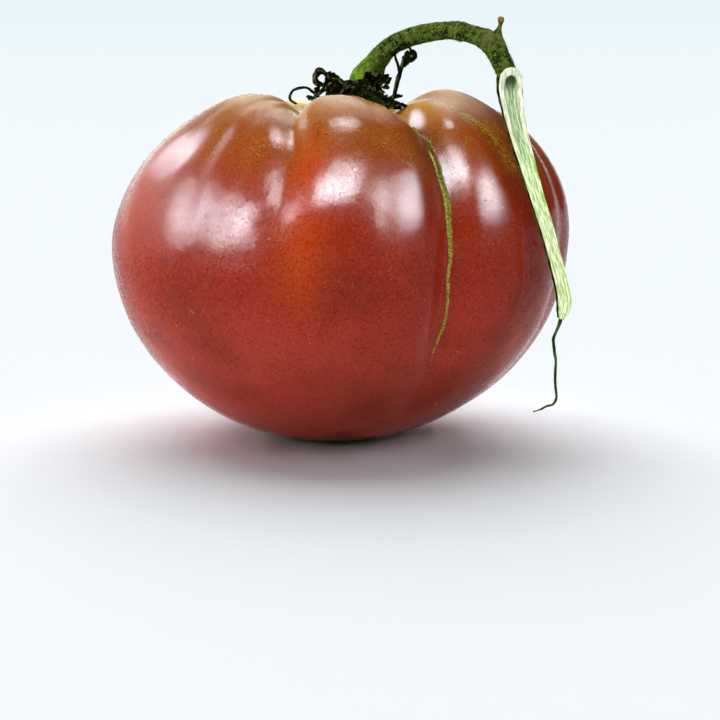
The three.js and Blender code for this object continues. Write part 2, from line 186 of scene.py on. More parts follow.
# %% The grid of the skin
beside_seam = seam_line + np.arange(-4, 4.1, 0.25)
columns = np.unique(np.concatenate([np.arange(0, 360, 0.93), beside_seam]).round(3))
rows = np.concatenate([np.linspace(-89.2, 45, 128), np.linspace(45.6, 89.6, 84)])
azimuth, lift = np.meshgrid(columns, rows, indexing="ij")
off = turned_by(azimuth, left_line)
nearby = np.where(np.abs(off) < 40, 0.5 + 0.5 * np.cos(np.pi * off / 40), 0)
azimuth = azimuth + left_swing * smooth(lift, 35, 75) * nearby
surface = skin(azimuth, lift)
outward = surface - np.array([0, 0, widest_at])
outward /= np.linalg.norm(outward, axis=-1, keepdims=True)
calm = smooth(ring_at(lift), 0.1, 0.4)
swell = 0.28 * waves(surface, 19) + 0.10 * waves(surface, 7.5, 3) + 0.035 * waves(surface, 2.6, 9)
surface = surface + outward * (swell * calm)[..., None]
dimple_depth, dimple_radius = 0.9, 3.4


def settle(points):
    """Ease the base into the flat spot, then sink the blossom scar's dimple."""
    z = points[..., 2]
    bend = sitting * ((z + sitting) / (2 * sitting)) ** 2
    eased = np.where(z > sitting, z, np.where(z > -sitting, bend, 0.0))
    radius = np.hypot(points[..., 0], points[..., 1])
    points[..., 2] = eased + dimple_depth * np.exp(-(radius / dimple_radius) ** 2)
    return points


pale_lobe = np.exp(-(np.linalg.norm(surface - skin(-150, 65), axis=-1) / 4.5) ** 2)
surface = settle(surface)
print("skin grid", surface.shape[:2], "base at", surface[..., 2].min().round(3), "mm")

# %% [markdown]
# Each point of the skin remembers where it is on the fruit: how far up it is, and how much it
# belongs to the orange flushes, the one on the left lobe carrying painted light as well, to the olive
# shoulders, to the broken green line on the right lobe, to the tan crest, which is partly a painted
# sheen, to the painted shade in the fold along the corky seam and under the sliver beside the green
# line, and to what stays pale, which is the cavity, the notches that lead into it and one lobe behind
# the left notch.

# %% What each point of the skin remembers
left_furrow = left_line + left_swing * smooth(lift, 35, 75)
flush_and_left_light = np.exp(-(turned_by(azimuth, left_furrow + 5.5) / 6.0) ** 2)
flush_and_left_light = flush_and_left_light * smooth(lift, -25, 5) * (1 - smooth(lift, 36, 56))
# A lighter orange on the left lobe: orange in the skin, and painted light from the left.
left_orange_and_light = 0.75 * np.exp(-(turned_by(azimuth, -66) / 13) ** 2) * smooth(lift, -20, 10)
flush_and_left_light = np.maximum(flush_and_left_light, left_orange_and_light * (1 - smooth(lift, 25, 45)))
shoulder = smooth(lift, 15, 55) * (0.75 + 0.45 * waves(surface, 14, 21))
green_lifts = [26, 32, 39.5, 46, 50, 59, 63, 70]
green_azimuths = [51.5, 50.5, 48.8, 47.2, 46.5, 44, 40, 34]
green_path = np.interp(lift, green_lifts, green_azimuths)
band = np.exp(-(turned_by(azimuth, green_path) / 2.6) ** 2) * smooth(lift, 24, 36)
green_line = band * (1 - smooth(lift, 66, 76)) * (0.85 + 0.6 * waves(surface, 4, 5))
# A paler tan along the crest: partly the shoulder's own colour, partly a painted sheen.
crest = smooth(lift, 46, 62)
ring = ring_at(lift)
pale = 1 - smooth(ring, 0.18, 0.42)
notch = np.exp(-(turned_by(azimuth, seam_line) / 4.2) ** 2)
notch = notch + 0.8 * np.exp(-(turned_by(azimuth, -33) / 5) ** 2)
pale = np.clip(pale + notch * smooth(lift, 60, 70) * 0.9 + pale_lobe, 0, 1)
# Painted shade: in the fold left of the seam, and a painted shadow of the sliver in the valley at azimuth 60,
# right of the green line.
seam_shade = np.exp(-(turned_by(azimuth, 26.5) / 5.5) ** 2) * smooth(lift, 8, 40)
seam_shade += 0.8 * np.exp(-(turned_by(azimuth, 60) / 5.5) ** 2) * smooth(lift, 22, 40)
fruit_height = 78.0
# How far up the fruit each point is. The colour ramp that reads it is painted lighter and rose near the base,
# for light bounced up from the table.
height_share = np.clip(surface[..., 2] / fruit_height, 0, 1)
memory = {"height_share": height_share, "flush_and_left_light": flush_and_left_light, "shoulder": shoulder, "green_line": green_line,
          "pale": pale, "crest": crest, "seam_shade": seam_shade}
for name, numbers in memory.items():
    print(name, "reaches", round(float(numbers.max()), 2))

# %% [markdown]
# The grid becomes a mesh: quads between neighbouring points, and a fan of triangles round the
# blossom scar below and the stem scar above, so that the skin is closed.

# %% The mesh of the skin
count, high = surface.shape[:2]
points = np.concatenate([surface.reshape(-1, 3), [[0, 0, dimple_depth]], [scar]])
base, crown = count * high, count * high + 1
i, j = np.meshgrid(np.arange(count), np.arange(high - 1), indexing="ij")
here, there = i * high + j, ((i + 1) % count) * high + j
faces = np.stack([here, there, there + 1, here + 1], -1).reshape(-1, 4).tolist()
faces += [(((k + 1) % count) * high, k * high, base) for k in range(count)]
faces += [(k * high + high - 1, ((k + 1) % count) * high + high - 1, crown) for k in range(count)]
for name, numbers in memory.items():
    memory[name] = np.append(numbers.ravel(), [numbers[0, 0], numbers[0, -1]])
fruit_skin = make_piece("fruit_skin", points, faces, memory)
print("fruit skin:", len(fruit_skin.data.polygons), "faces")

# %% [markdown]
# ## A box of finishes
# A finish is a shader whose colour, gloss and relief come from noise and from the numbers on the
# points. These few helpers keep each finish short: they add a node or two each and hand back the
# socket with the result. Sizes are given in millimetres.


# %% Helpers for finishes
class Finish:
    def __init__(self, name, **fixed):
        self.material = bpy.data.materials.new(name)
        self.material.use_nodes = True
        self.tree = self.material.node_tree
        self.shader = self.tree.nodes["Principled BSDF"]
        self.place = self.tree.nodes.new("ShaderNodeTexCoord").outputs["Object"]
        for socket, value in fixed.items():
            self.shader.inputs[socket.replace("_", " ")].default_value = value

    def add(self, kind, sockets, **settings):
        """A new node, with each socket linked or set."""
        made = self.tree.nodes.new(kind)
        for key, value in settings.items():
            setattr(made, key, value)
        for key, value in sockets.items():
            if isinstance(value, bpy.types.NodeSocket):
                self.tree.links.new(value, made.inputs[key])
            else:
                made.inputs[key].default_value = value
        return made

    def number(self, name):
        """A number that the points of the mesh remember."""
        return self.add("ShaderNodeAttribute", {}, attribute_name=name).outputs["Fac"]

    def grain(self, size, detail=2.0, rough=0.5, stretch=(1, 1, 1), place=None):
        """Noise from 0 to 1 with blobs about size millimetres wide."""
        spot = self.add("ShaderNodeMapping", {"Vector": place or self.place, "Scale": stretch})
        return self.add("ShaderNodeTexNoise", {
            "Vector": spot.outputs[0], "Scale": 1 / (size * MM), "Detail": detail, "Roughness": rough,
        }).outputs[0]

    def dots(self, size, radius):
        """1 in the middle of scattered dots, falling to 0 at their rims."""
        far = self.add("ShaderNodeTexVoronoi", {"Vector": self.place, "Scale": 1 / (size * MM)})
        return self.ease(far.outputs["Distance"], radius, 0.0)

    def ease(self, value, low, high, bottom=0.0, top=1.0):
        """A smooth step from bottom at low to top at high."""
        return self.add("ShaderNodeMapRange", {
            "Value": value, "From Min": low, "From Max": high, "To Min": bottom, "To Max": top,
        }, interpolation_type="SMOOTHSTEP").outputs[0]

    def times(self, a, b):
        """The product of two shares, kept between 0 and 1."""
        return self.add("ShaderNodeMath", {0: a, 1: b}, operation="MULTIPLY", use_clamp=True).outputs[0]

    def blend(self, share, under, over):
        """One colour laid over another, as far as share says."""
        made = self.add("ShaderNodeMix", {0: share, 6: under, 7: over}, data_type="RGBA")
        return made.outputs[2]

    def relief(self, height, depth, before=None):
        """A bump of depth millimetres, on top of an earlier one where there is one."""
        made = self.add("ShaderNodeBump", {"Height": height, "Distance": depth * MM, "Strength": 1.0})
        if before:
            self.tree.links.new(before, made.inputs["Normal"])
        return made.outputs[0]

    def wear(self, socket, value):
        """Link a result to the shader itself."""
        self.tree.links.new(value, self.shader.inputs[socket])


def rgb(red, green, blue):
    return (red, green, blue, 1.0)


# %% [markdown]
# ## The finish of the skin
# The skin of a dark heirloom tomato is a thin, clear, waxy film over flesh that is brick red, and
# olive brown with yellow-green flecks on the shoulders. Towards the base the ramp is painted lighter
# and rose, for light bounced up from the table. So the colour is built in that order, from the flesh
# up: a ramp from base to crest, then large patches, then the flushes, which carry painted light on
# the left lobe, the shoulders and the painted shade by the seam.

# %% The colours of the flesh
peel = Finish("tomato_skin", Roughness=0.5, Specular_IOR_Level=0.0, Coat_Weight=1.0,
              Coat_Roughness=0.16, Coat_IOR=1.25, Subsurface_Weight=0.1, Subsurface_Scale=0.004)
peel.shader.inputs["Subsurface Radius"].default_value = (1.0, 0.25, 0.12)
patches = peel.grain(24, 2.0)
clouds = peel.grain(6, 3.0)
up = peel.add("ShaderNodeValToRGB", {"Fac": peel.number("height_share")})
steps = up.color_ramp.elements
# Painted bounce light: the ramp is lighter and rose near the base.
steps[0].position, steps[0].color = 0.05, rgb(0.460, 0.050, 0.0300)
steps[1].position, steps[1].color = 1.0, rgb(0.209, 0.043, 0.0031)
for at, shade in [
    (0.28, rgb(0.380, 0.044, 0.0260)),
    (0.52, rgb(0.218, 0.011, 0.0026)),
    (0.78, rgb(0.202, 0.018, 0.0026)),
]:
    steps.new(at).color = shade
colour = up.outputs[0]
colour = peel.blend(peel.ease(patches, 0.50, 0.72, 0, 0.60), colour, rgb(0.109, 0.010, 0.0026))
colour = peel.blend(peel.ease(clouds, 0.45, 0.72, 0, 0.35), colour, rgb(0.256, 0.031, 0.0093))
# The flushes; the one on the left lobe carries painted light from the left.
colour = peel.blend(peel.times(peel.number("flush_and_left_light"), 0.85), colour, rgb(0.333, 0.034, 0.0016))
olive = peel.times(peel.number("shoulder"), peel.ease(clouds, 0.25, 0.62, 0.30, 1.0))
colour = peel.blend(peel.times(olive, 0.85), colour, rgb(0.190, 0.075, 0.0026))
# Painted shade by the seam and under the sliver.
colour = peel.blend(peel.times(peel.number("seam_shade"), 0.80), colour, rgb(0.085, 0.019, 0.0062))
print("flesh:", len(peel.tree.nodes), "nodes so far")

# %% [markdown]
# ## The cells, flecks and gloss of the skin
# Seen close, the skin is a mosaic of darker and brighter cells, with gold dots, yellow-green
# flecks on the shoulders, and dark pores. A paler tan lies along the crest, partly the shoulder's
# own colour and partly a painted sheen, and the cavity is paler too. The wet gloss is a clear coat
# over a matt body, and it thins out in the pores. Very fine relief makes the highlights grainy, as
# the cells of real skin do.

# %% The cells, flecks and gloss of the skin
cells = peel.grain(0.50, 2.0, 0.7)
pores = peel.grain(0.52, 1.5, 0.6)
colour = peel.blend(peel.ease(cells, 0.50, 0.28, 0.0, 0.50), colour, rgb(0.085, 0.008, 0.0031))
colour = peel.blend(peel.ease(cells, 0.52, 0.76, 0.0, 0.45), colour, rgb(0.370, 0.050, 0.0080))
specks = peel.ease(peel.grain(0.38, 1.0, 0.6), 0.56, 0.68)
crowds = peel.ease(peel.grain(5.0, 2.0), 0.42, 0.66)
flecks = peel.times(peel.times(specks, crowds), peel.ease(peel.number("shoulder"), 0.0, 0.6))
colour = peel.blend(peel.times(flecks, 0.65), colour, rgb(0.330, 0.205, 0.0124))
gold = peel.times(peel.dots(1.9, 0.14), peel.ease(clouds, 0.50, 0.62))
gold = peel.times(gold, peel.ease(peel.number("height_share"), 0.40, 0.80))
colour = peel.blend(peel.times(gold, 0.80), colour, rgb(0.465, 0.264, 0.0186))
stripe = peel.times(peel.number("green_line"), peel.ease(peel.grain(0.9, 3.0, 0.75), 0.44, 0.58))
colour = peel.blend(peel.times(stripe, 0.90), colour, rgb(0.310, 0.240, 0.0093))
# Painted sheen along the crest, over the shoulder's own tan.
colour = peel.blend(peel.times(peel.number("crest"), 0.60), colour, rgb(0.380, 0.190, 0.0300))
colour = peel.blend(peel.ease(peel.number("pale"), 0.15, 0.85), colour, rgb(0.527, 0.527, 0.1783))
colour = peel.blend(peel.ease(pores, 0.56, 0.70, 0.0, 0.40), colour, rgb(0.062, 0.005, 0.0016))
peel.wear("Base Color", colour)
peel.wear("Coat Weight", peel.ease(pores, 0.62, 0.44, 0.30, 1.0))
peel.wear("Normal", peel.relief(cells, 0.020))
peel.wear("Coat Normal", peel.relief(pores, 0.021))
fruit_skin.data.materials.append(peel.material)
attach(fruit_skin, "root")
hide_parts("fruit")
print("finish:", peel.material.name, len(peel.tree.nodes), "nodes")

# %% [markdown]
# ## Rings and lofts
# Stems, sepals, slivers and fibres are all long and thin, so each is a row of closed rings skinned
# over. The centre line is the same centripetal spline that the solids use: it goes through every
# given point and doesn't loop between close ones.


# %% Splines and lofts
def spline(stations, shares):
    """Points and directions at shares from 0 to 1 of a centripetal spline through stations."""
    given = np.asarray(stations, float)
    ends = np.vstack([2 * given[0] - given[1], given, 2 * given[-1] - given[-2]])
    places, ways = [], []
    for share in shares:
        at = share * (len(given) - 1)
        k = min(int(at), len(given) - 2)
        t = at - k
        p0, p1, p2, p3 = ends[k:k + 4]
        pairs = ((p0, p1), (p1, p2), (p2, p3))
        a, b, c = [max(float(np.linalg.norm(q - p)), 1e-4) ** 0.5 for p, q in pairs]
        start = ((p1 - p0) / a - (p2 - p0) / (a + b) + (p2 - p1) / b) * b
        stop = ((p2 - p1) / b - (p3 - p1) / (b + c) + (p3 - p2) / c) * b
        two, three = 3 * (p2 - p1) - 2 * start - stop, 2 * (p1 - p2) + start + stop
        places.append(p1 + start * t + two * t * t + three * t ** 3)
        way = start + 2 * two * t + 3 * three * t * t
        ways.append(way / max(float(np.linalg.norm(way)), 1e-9))
    return np.array(places), np.array(ways)


def along(values, shares):
    """Values that are spread evenly along a line, read at shares of it."""
    return np.interp(shares, np.linspace(0, 1, len(values)), values)


def loft_faces(rings, around, start=0):
    """Faces of a closed loft whose points begin at start, with ladders of quads at both ends."""
    faces = []
    for r in range(rings - 1):
        for k in range(around):
            here, there = start + r * around + k, start + r * around + (k + 1) % around
            faces.append((here, there, there + around, here + around))
    last = start + (rings - 1) * around
    for k in range(around // 2 - 1):
        m = around - 1 - k
        faces.append((start + k, start + m, start + m - 1, start + k + 1))
        faces.append((last + k, last + k + 1, last + m - 1, last + m))
    return faces


def make_loft(name, rings, values=None, origin=(0, 0, 0)):
    """One piece from one closed loft, with its rings measured from origin."""
    faces = loft_faces(rings.shape[0], rings.shape[1])
    return make_piece(name, rings.reshape(-1, 3) + np.asarray(origin), faces, values)


def carried_frames(ways, first=(0.0, 0.0, 1.0)):
    """Two directions across each step of a line, carried along it without twist."""
    side = np.cross(ways[0], first)
    side = side / max(np.linalg.norm(side), 1e-9)
    sides, outs = [], []
    for way in ways:
        side = side - way * side.dot(way)
        side = side / np.linalg.norm(side)
        sides.append(side)
        outs.append(np.cross(way, side))
    return np.array(sides), np.array(outs)


# %% [markdown]
# ## Cork on the skin
# A crack that healed while the fruit grew runs down the deepest furrow: a cord of cork, three
# millimetres wide near the top and a hair at the bottom. Close up it is rough with knots, and open
# and dark in the middle where the crack is widest. Paint alone would look flat under the
# highlights, so the cord is a thin loft bedded in the skin, and its knots are in the mesh.


# %% A cord of cork that follows the skin
def cork_cord(name, places, half_widths, heights, knots, steps, gap=0.0, wide=14):
    """places are pairs of azimuth and lift; half widths and heights are millimetres along it."""
    share = np.linspace(0, 1, steps)
    at = np.array([along([p[k] for p in places], share) for k in (0, 1)])
    wander = 0.30 * np.sin(share * 19) + 0.22 * np.sin(share * 43 + 1)
    at[0] += wander * smooth(share, 0.05, 0.3)
    line = skin(at[0], at[1])
    down = np.gradient(line, axis=0)
    down /= np.linalg.norm(down, axis=1, keepdims=True)
    out = line - [0, 0, widest_at]
    out -= down * (out * down).sum(1)[:, None]
    out /= np.linalg.norm(out, axis=1, keepdims=True)
    beside = np.cross(down, out)
    half = along(half_widths, share) * (1 + 0.22 * waves(line, 1.3, 4) + 0.12 * waves(line, 0.5, 6))
    proud = along(heights, share)
    open_middle = gap * smooth(share, 0.03, 0.10) * (1 - smooth(share, 0.28, 0.42))
    spread = np.linspace(-1, 1, wide)
    top, tooth = [], []
    for s in spread:
        spot = line + beside * (half * s)[:, None]
        knot = 0.5 + 0.26 * np.sin(share * knots + 0.8 * s + 4.5 * waves(spot, 1.5, 8))
        knot = knot + 0.55 * waves(spot, 0.55, 11)
        height = (1 - s ** 2) ** 0.5 * proud * (0.60 + 0.40 * knot)
        height = height - open_middle * proud * 1.2 * math.exp(-(s / 0.35) ** 2)
        height = height + 0.06 * waves(spot, 0.45, 30)
        top.append(spot + out * (height - 0.04)[:, None])
        tooth.append(knot - 1.5 * open_middle * math.exp(-(s / 0.35) ** 2))
    under = [p - out * 0.35 for p in reversed(top)]
    rings = np.stack(under[::-1] + top[::-1], 1)
    values = {
        "teeth": np.clip(np.stack(tooth + tooth[::-1], 1), 0, 1),
        "run": np.repeat(share[:, None], 2 * wide, 1),
        "edge": np.tile(np.abs(np.concatenate([spread, spread[::-1]])), (steps, 1)),
    }
    cord = make_loft(name, rings, values)
    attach(cord, "root")
    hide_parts("fruit")
    return cord


# %% [markdown]
# The seam starts at the edge of the cavity and follows the furrow down into the lower third of
# the fruit. A shorter line of brown cork runs over the edge of the cavity, where the front lobe
# rubbed against a sepal.

# %% The corky seam and the rubbed line
seam_path = [(28, 71), (31, 62), (31, 55.5), (28.8, 45), (29.3, 38), (28.9, 29), (29.3, 20), (30.0, 12),
             (30.2, 2), (30.2, -7), (30.1, -20), (29.7, -28), (30.0, -35), (30.2, -39)]
seam_half_widths = [0.6, 1.3, 1.6, 1.5, 1.25, 0.95, 0.78, 0.64, 0.5, 0.42, 0.32, 0.24, 0.2, 0.1]
seam_heights = [0.3, 0.7, 0.9, 0.85, 0.7, 0.5, 0.36, 0.28, 0.22, 0.18, 0.12, 0.08, 0.06, 0.02]
corky_seam = cork_cord("corky_seam", seam_path, seam_half_widths, seam_heights, 330, 1000, 0.9)
rub_path = [(2, 67.5), (7, 65), (12, 62), (15, 57.5), (18.5, 53.5), (22, 51)]
rub_half_widths = [0.08, 0.20, 0.26, 0.22, 0.18, 0.08]
rub_heights = [0.05, 0.14, 0.18, 0.16, 0.12, 0.02]
rubbed_line = cork_cord("rubbed_line", rub_path, rub_half_widths, rub_heights, 60, 160, 0, 8)
print("cork:", len(corky_seam.data.polygons), "faces in the seam")

# %% [markdown]
# Fresh cork is yellow green, paler at its edges, and turns to tan down the seam. Specks of noise
# and the dips between the knots are dark. Cork is quite matt, so it stands out against the gloss.

# %% Finishes for cork
cork = Finish("seam_cork", Roughness=0.75, Specular_IOR_Level=0.0)
tone = cork.blend(cork.ease(cork.number("edge"), 0.3, 0.8),
                  rgb(0.150, 0.180, 0.0300), rgb(0.330, 0.380, 0.0600))
tone = cork.blend(cork.ease(cork.number("run"), 0.30, 0.75), tone, rgb(0.360, 0.240, 0.0400))
tone = cork.blend(cork.ease(cork.grain(0.45, 3.0, 0.7), 0.46, 0.60, 0.0, 0.80),
                  tone, rgb(0.070, 0.060, 0.0090))
tone = cork.blend(cork.ease(cork.number("teeth"), 0.35, 0.0, 0.0, 0.75), tone, rgb(0.040, 0.035, 0.0070))
cork.wear("Base Color", tone)
cork.wear("Normal", cork.relief(cork.grain(0.2, 3.0), 0.05))
corky_seam.data.materials.append(cork.material)

tan = Finish("tan_cork", Roughness=0.7, Specular_IOR_Level=0.0)
tan_tone = tan.blend(tan.ease(tan.grain(0.5, 2.0), 0.4, 0.6),
                     rgb(0.170, 0.055, 0.010), rgb(0.260, 0.150, 0.035))
tan.wear("Base Color", tan_tone)
rubbed_line.data.materials.append(tan.material)
print("finishes:", cork.material.name, "and", tan.material.name)

# %% [markdown]
# ## Specks on the skin
# Small corky specks are scattered over the skin, where pores and scratches healed. They could be
# dots of paint, but a real one is raised. So each is a low closed dome that is let into the skin.

# %% A speck
speck_points, speck_faces = [], []


def add_speck(at_azimuth, at_lift, length, width, tilt=0.0, sides=8):
    """A dome on the skin, length and width in millimetres, tilted away from upright."""
    middle = skin(at_azimuth, at_lift)
    east = skin(at_azimuth + 0.5, at_lift) - skin(at_azimuth - 0.5, at_lift)
    north = skin(at_azimuth, at_lift + 0.5) - skin(at_azimuth, at_lift - 0.5)
    east, north = east / np.linalg.norm(east), north / np.linalg.norm(north)
    out = np.cross(east, north)
    out /= np.linalg.norm(out)
    a, b = math.cos(tilt), math.sin(tilt)
    first = len(speck_points)
    for k in range(sides):
        turn = 2 * math.pi * k / sides
        u, v = length / 2 * math.cos(turn), width / 2 * math.sin(turn)
        speck_points.append(middle + east * (a * v - b * u) + north * (a * u + b * v) + out * 0.03)
    speck_points.append(middle + out * (0.06 + 0.12 * width))
    speck_points.append(middle - out * 0.3)
    for k in range(sides):
        after = first + (k + 1) % sides
        speck_faces.append((first + k, first + sides, after))
        speck_faces.append((first + k, after, first + sides + 1))


# %% [markdown]
# The larger ones are listed one by one, and a few hundred fine ones fall at random from a fixed seed.

# %% The specks
for at_azimuth, at_lift, length, width, tilt in [
    (-17.0, 6.8, 0.9, 0.8, 0.0), (-44.8, -20.8, 0.7, 0.5, 0.4), (-6.8, -21.5, 0.6, 0.5, 0.0),
    (-43.2, -30.8, 0.6, 0.5, 0.0), (-44.5, -41.8, 0.7, 0.5, 0.8), (39.2, -46.2, 1.2, 0.9, 0.3),
    (38.5, -55.5, 0.8, 0.7, 0.0), (12.5, -33.2, 0.6, 0.5, 0.0), (35.8, -26.2, 0.7, 0.6, 0.0),
    (-37.8, -15.8, 1.9, 0.35, 0.7), (-8.8, 43.2, 1.7, 0.35, 0.15), (17.0, 33.2, 1.6, 0.3, 0.9),
    (17.8, 31.6, 1.1, 0.3, 0.5), (15.6, 33.6, 1.0, 0.28, -0.5), (46.8, 32.8, 0.5, 0.45, 0.0),
    (30.8, 37.8, 0.45, 0.4, 0.0), (52.5, 46.8, 0.45, 0.4, 0.0), (38.2, 20.5, 0.7, 0.35, 0.9),
]:
    add_speck(at_azimuth, at_lift, length, width, tilt)
chance = random.Random(7)
for _ in range(420):
    size = chance.uniform(0.12, 0.26)
    add_speck(chance.uniform(-180, 180), math.degrees(math.asin(chance.uniform(-0.85, 0.85))),
              size * chance.uniform(1, 1.6), size, chance.uniform(-1.5, 1.5), 6)
skin_specks = make_piece("skin_specks", speck_points, speck_faces)
skin_specks.data.materials.append(tan.material)
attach(skin_specks, "root")
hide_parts("fruit")
print("specks:", len(speck_faces), "faces")

# %% [markdown]
# ## The finish of dry and of green parts
# Dried sepals are almost black, with dark green patches and tan along torn edges. The stem is dull
# green with brown mottling and pale flecks, with painted light on the left side of the swelling
# above the calyx, corky at its joint ring, and tan at the tip of the bud stub.

# %% Finishes for the sepals and the stem
dry = Finish("dried_sepal", Roughness=0.8, Specular_IOR_Level=0.0)
leaf = dry.blend(dry.ease(dry.grain(1.6, 3.0), 0.4, 0.62),
                 rgb(0.0010, 0.0016, 0.0006), rgb(0.0080, 0.0120, 0.0024))
leaf = dry.blend(dry.ease(dry.grain(0.7, 3.0), 0.54, 0.68, 0.0, 0.65), leaf, rgb(0.040, 0.045, 0.010))
torn_edge = dry.times(dry.ease(dry.number("edge"), 0.80, 1.0), dry.ease(dry.grain(1.1), 0.46, 0.6, 0.0, 0.8))
leaf = dry.blend(torn_edge, leaf, rgb(0.130, 0.115, 0.045))
dry.wear("Base Color", leaf)
dry.wear("Normal", dry.relief(dry.grain(0.35, 3.0), 0.12, dry.relief(dry.grain(1.3, 3.0), 0.35)))

green = Finish("stem_green", Roughness=0.62, Specular_IOR_Level=0.0)
bark = green.blend(green.ease(green.grain(1.7, 3.0, 0.6), 0.38, 0.60),
                   rgb(0.006, 0.013, 0.003), rgb(0.056, 0.088, 0.010))
bark = green.blend(green.ease(green.grain(0.8, 3.0), 0.54, 0.66, 0.0, 0.80), bark, rgb(0.020, 0.016, 0.003))
bark = green.blend(green.ease(green.grain(0.42, 2.0), 0.57, 0.68, 0.0, 0.75), bark, rgb(0.190, 0.220, 0.055))
mottled = green.ease(green.grain(1.3, 3.0), 0.40, 0.60, 0.25, 1.0)
# Painted light on the left side of the swelling.
painted_lit_part = green.times(green.number("bright"), mottled)
bark = green.blend(painted_lit_part, bark, rgb(0.130, 0.240, 0.018))
bark = green.blend(green.number("corky"), bark, rgb(0.110, 0.120, 0.030))
bark = green.blend(green.number("tip"), bark, rgb(0.230, 0.110, 0.020))
green.wear("Base Color", bark)
green.wear("Normal", green.relief(green.grain(0.3, 3.0), 0.06, green.relief(green.grain(1.2, 2.0), 0.16)))
print("finishes:", dry.material.name, "and", green.material.name)

# %% [markdown]
# ## The dried sepals
# As a tomato ripens, its sepals dry, shrink and curl back. Each one is a ribbon: a line in space
# with a width that changes along it, cupped across, waved along its edges and torn into teeth. A
# flat leaf bent by a modifier would be simpler, but would stay too even for a dead leaf.


# %% A ribbon that can cup, wave and tear
def ribbon(spine, width, across, cup=0.3, thick=0.5, wave=0.25, torn=0.25, seed=1, steps=70, wide=12):
    """Rings of a torn ribbon along spine, in millimetres, and how near its edge each point is."""
    shares = np.linspace(0, 1, steps)
    centre, way = spline(spine, shares)
    side = np.array(across, float)[None, :] - way * (way @ np.array(across, float))[:, None]
    side /= np.linalg.norm(side, axis=1, keepdims=True)
    out = np.cross(way, side)
    half = along(width, shares) / 2
    chance = random.Random(seed)
    bites = [[chance.uniform(-1, 1) for _ in range(steps // 3)] for _ in range(2)]
    teeth = [along(edge, shares) for edge in bites]
    sheet = []
    for s in np.linspace(-1, 1, wide):
        ragged = 1 + torn * teeth[s > 0] * abs(s) ** 3
        lift_off = cup * s * s + wave * abs(s) * np.sin(shares * 23 + seed + 2.5 * s)
        lift_off = lift_off - 0.12 * np.exp(-(s / 0.18) ** 2)
        sheet.append(centre + side * (half * s * ragged)[:, None] + out * lift_off[:, None])
    sheet = np.stack(sheet, 1)
    sheet = sheet + 0.16 * waves(sheet, 1.5, seed)[..., None] * out[:, None, :]
    body = thick / 2 * (1 - 0.55 * np.linspace(-1, 1, wide) ** 2)[None, :, None] * out[:, None, :]
    rings = np.concatenate([sheet - body, (sheet + body)[:, ::-1]], 1)
    edge = np.abs(np.linspace(-1, 1, wide))
    return rings, np.tile(np.concatenate([edge, edge[::-1]]), (steps, 1))


def join_lofts(name, lofts, key="edge"):
    """One piece from many closed lofts, each a pair of rings and a number on every point."""
    points, faces, values = [], [], []
    for rings, numbers in lofts:
        faces += loft_faces(rings.shape[0], rings.shape[1], sum(len(p) for p in points))
        points.append(rings.reshape(-1, 3) + scar)
        values.append(numbers.ravel())
    return make_piece(name, np.concatenate(points), faces, {key: np.concatenate(values)})


# %% [markdown]
# The lines follow the photograph. The main sepals are a thin loop on the left, two that start the
# curled clump beside the stem, a broad crumpled one before it, one that lies towards the seam, and
# an upright one with a tendril. Those at the back lie along the cavity wall.

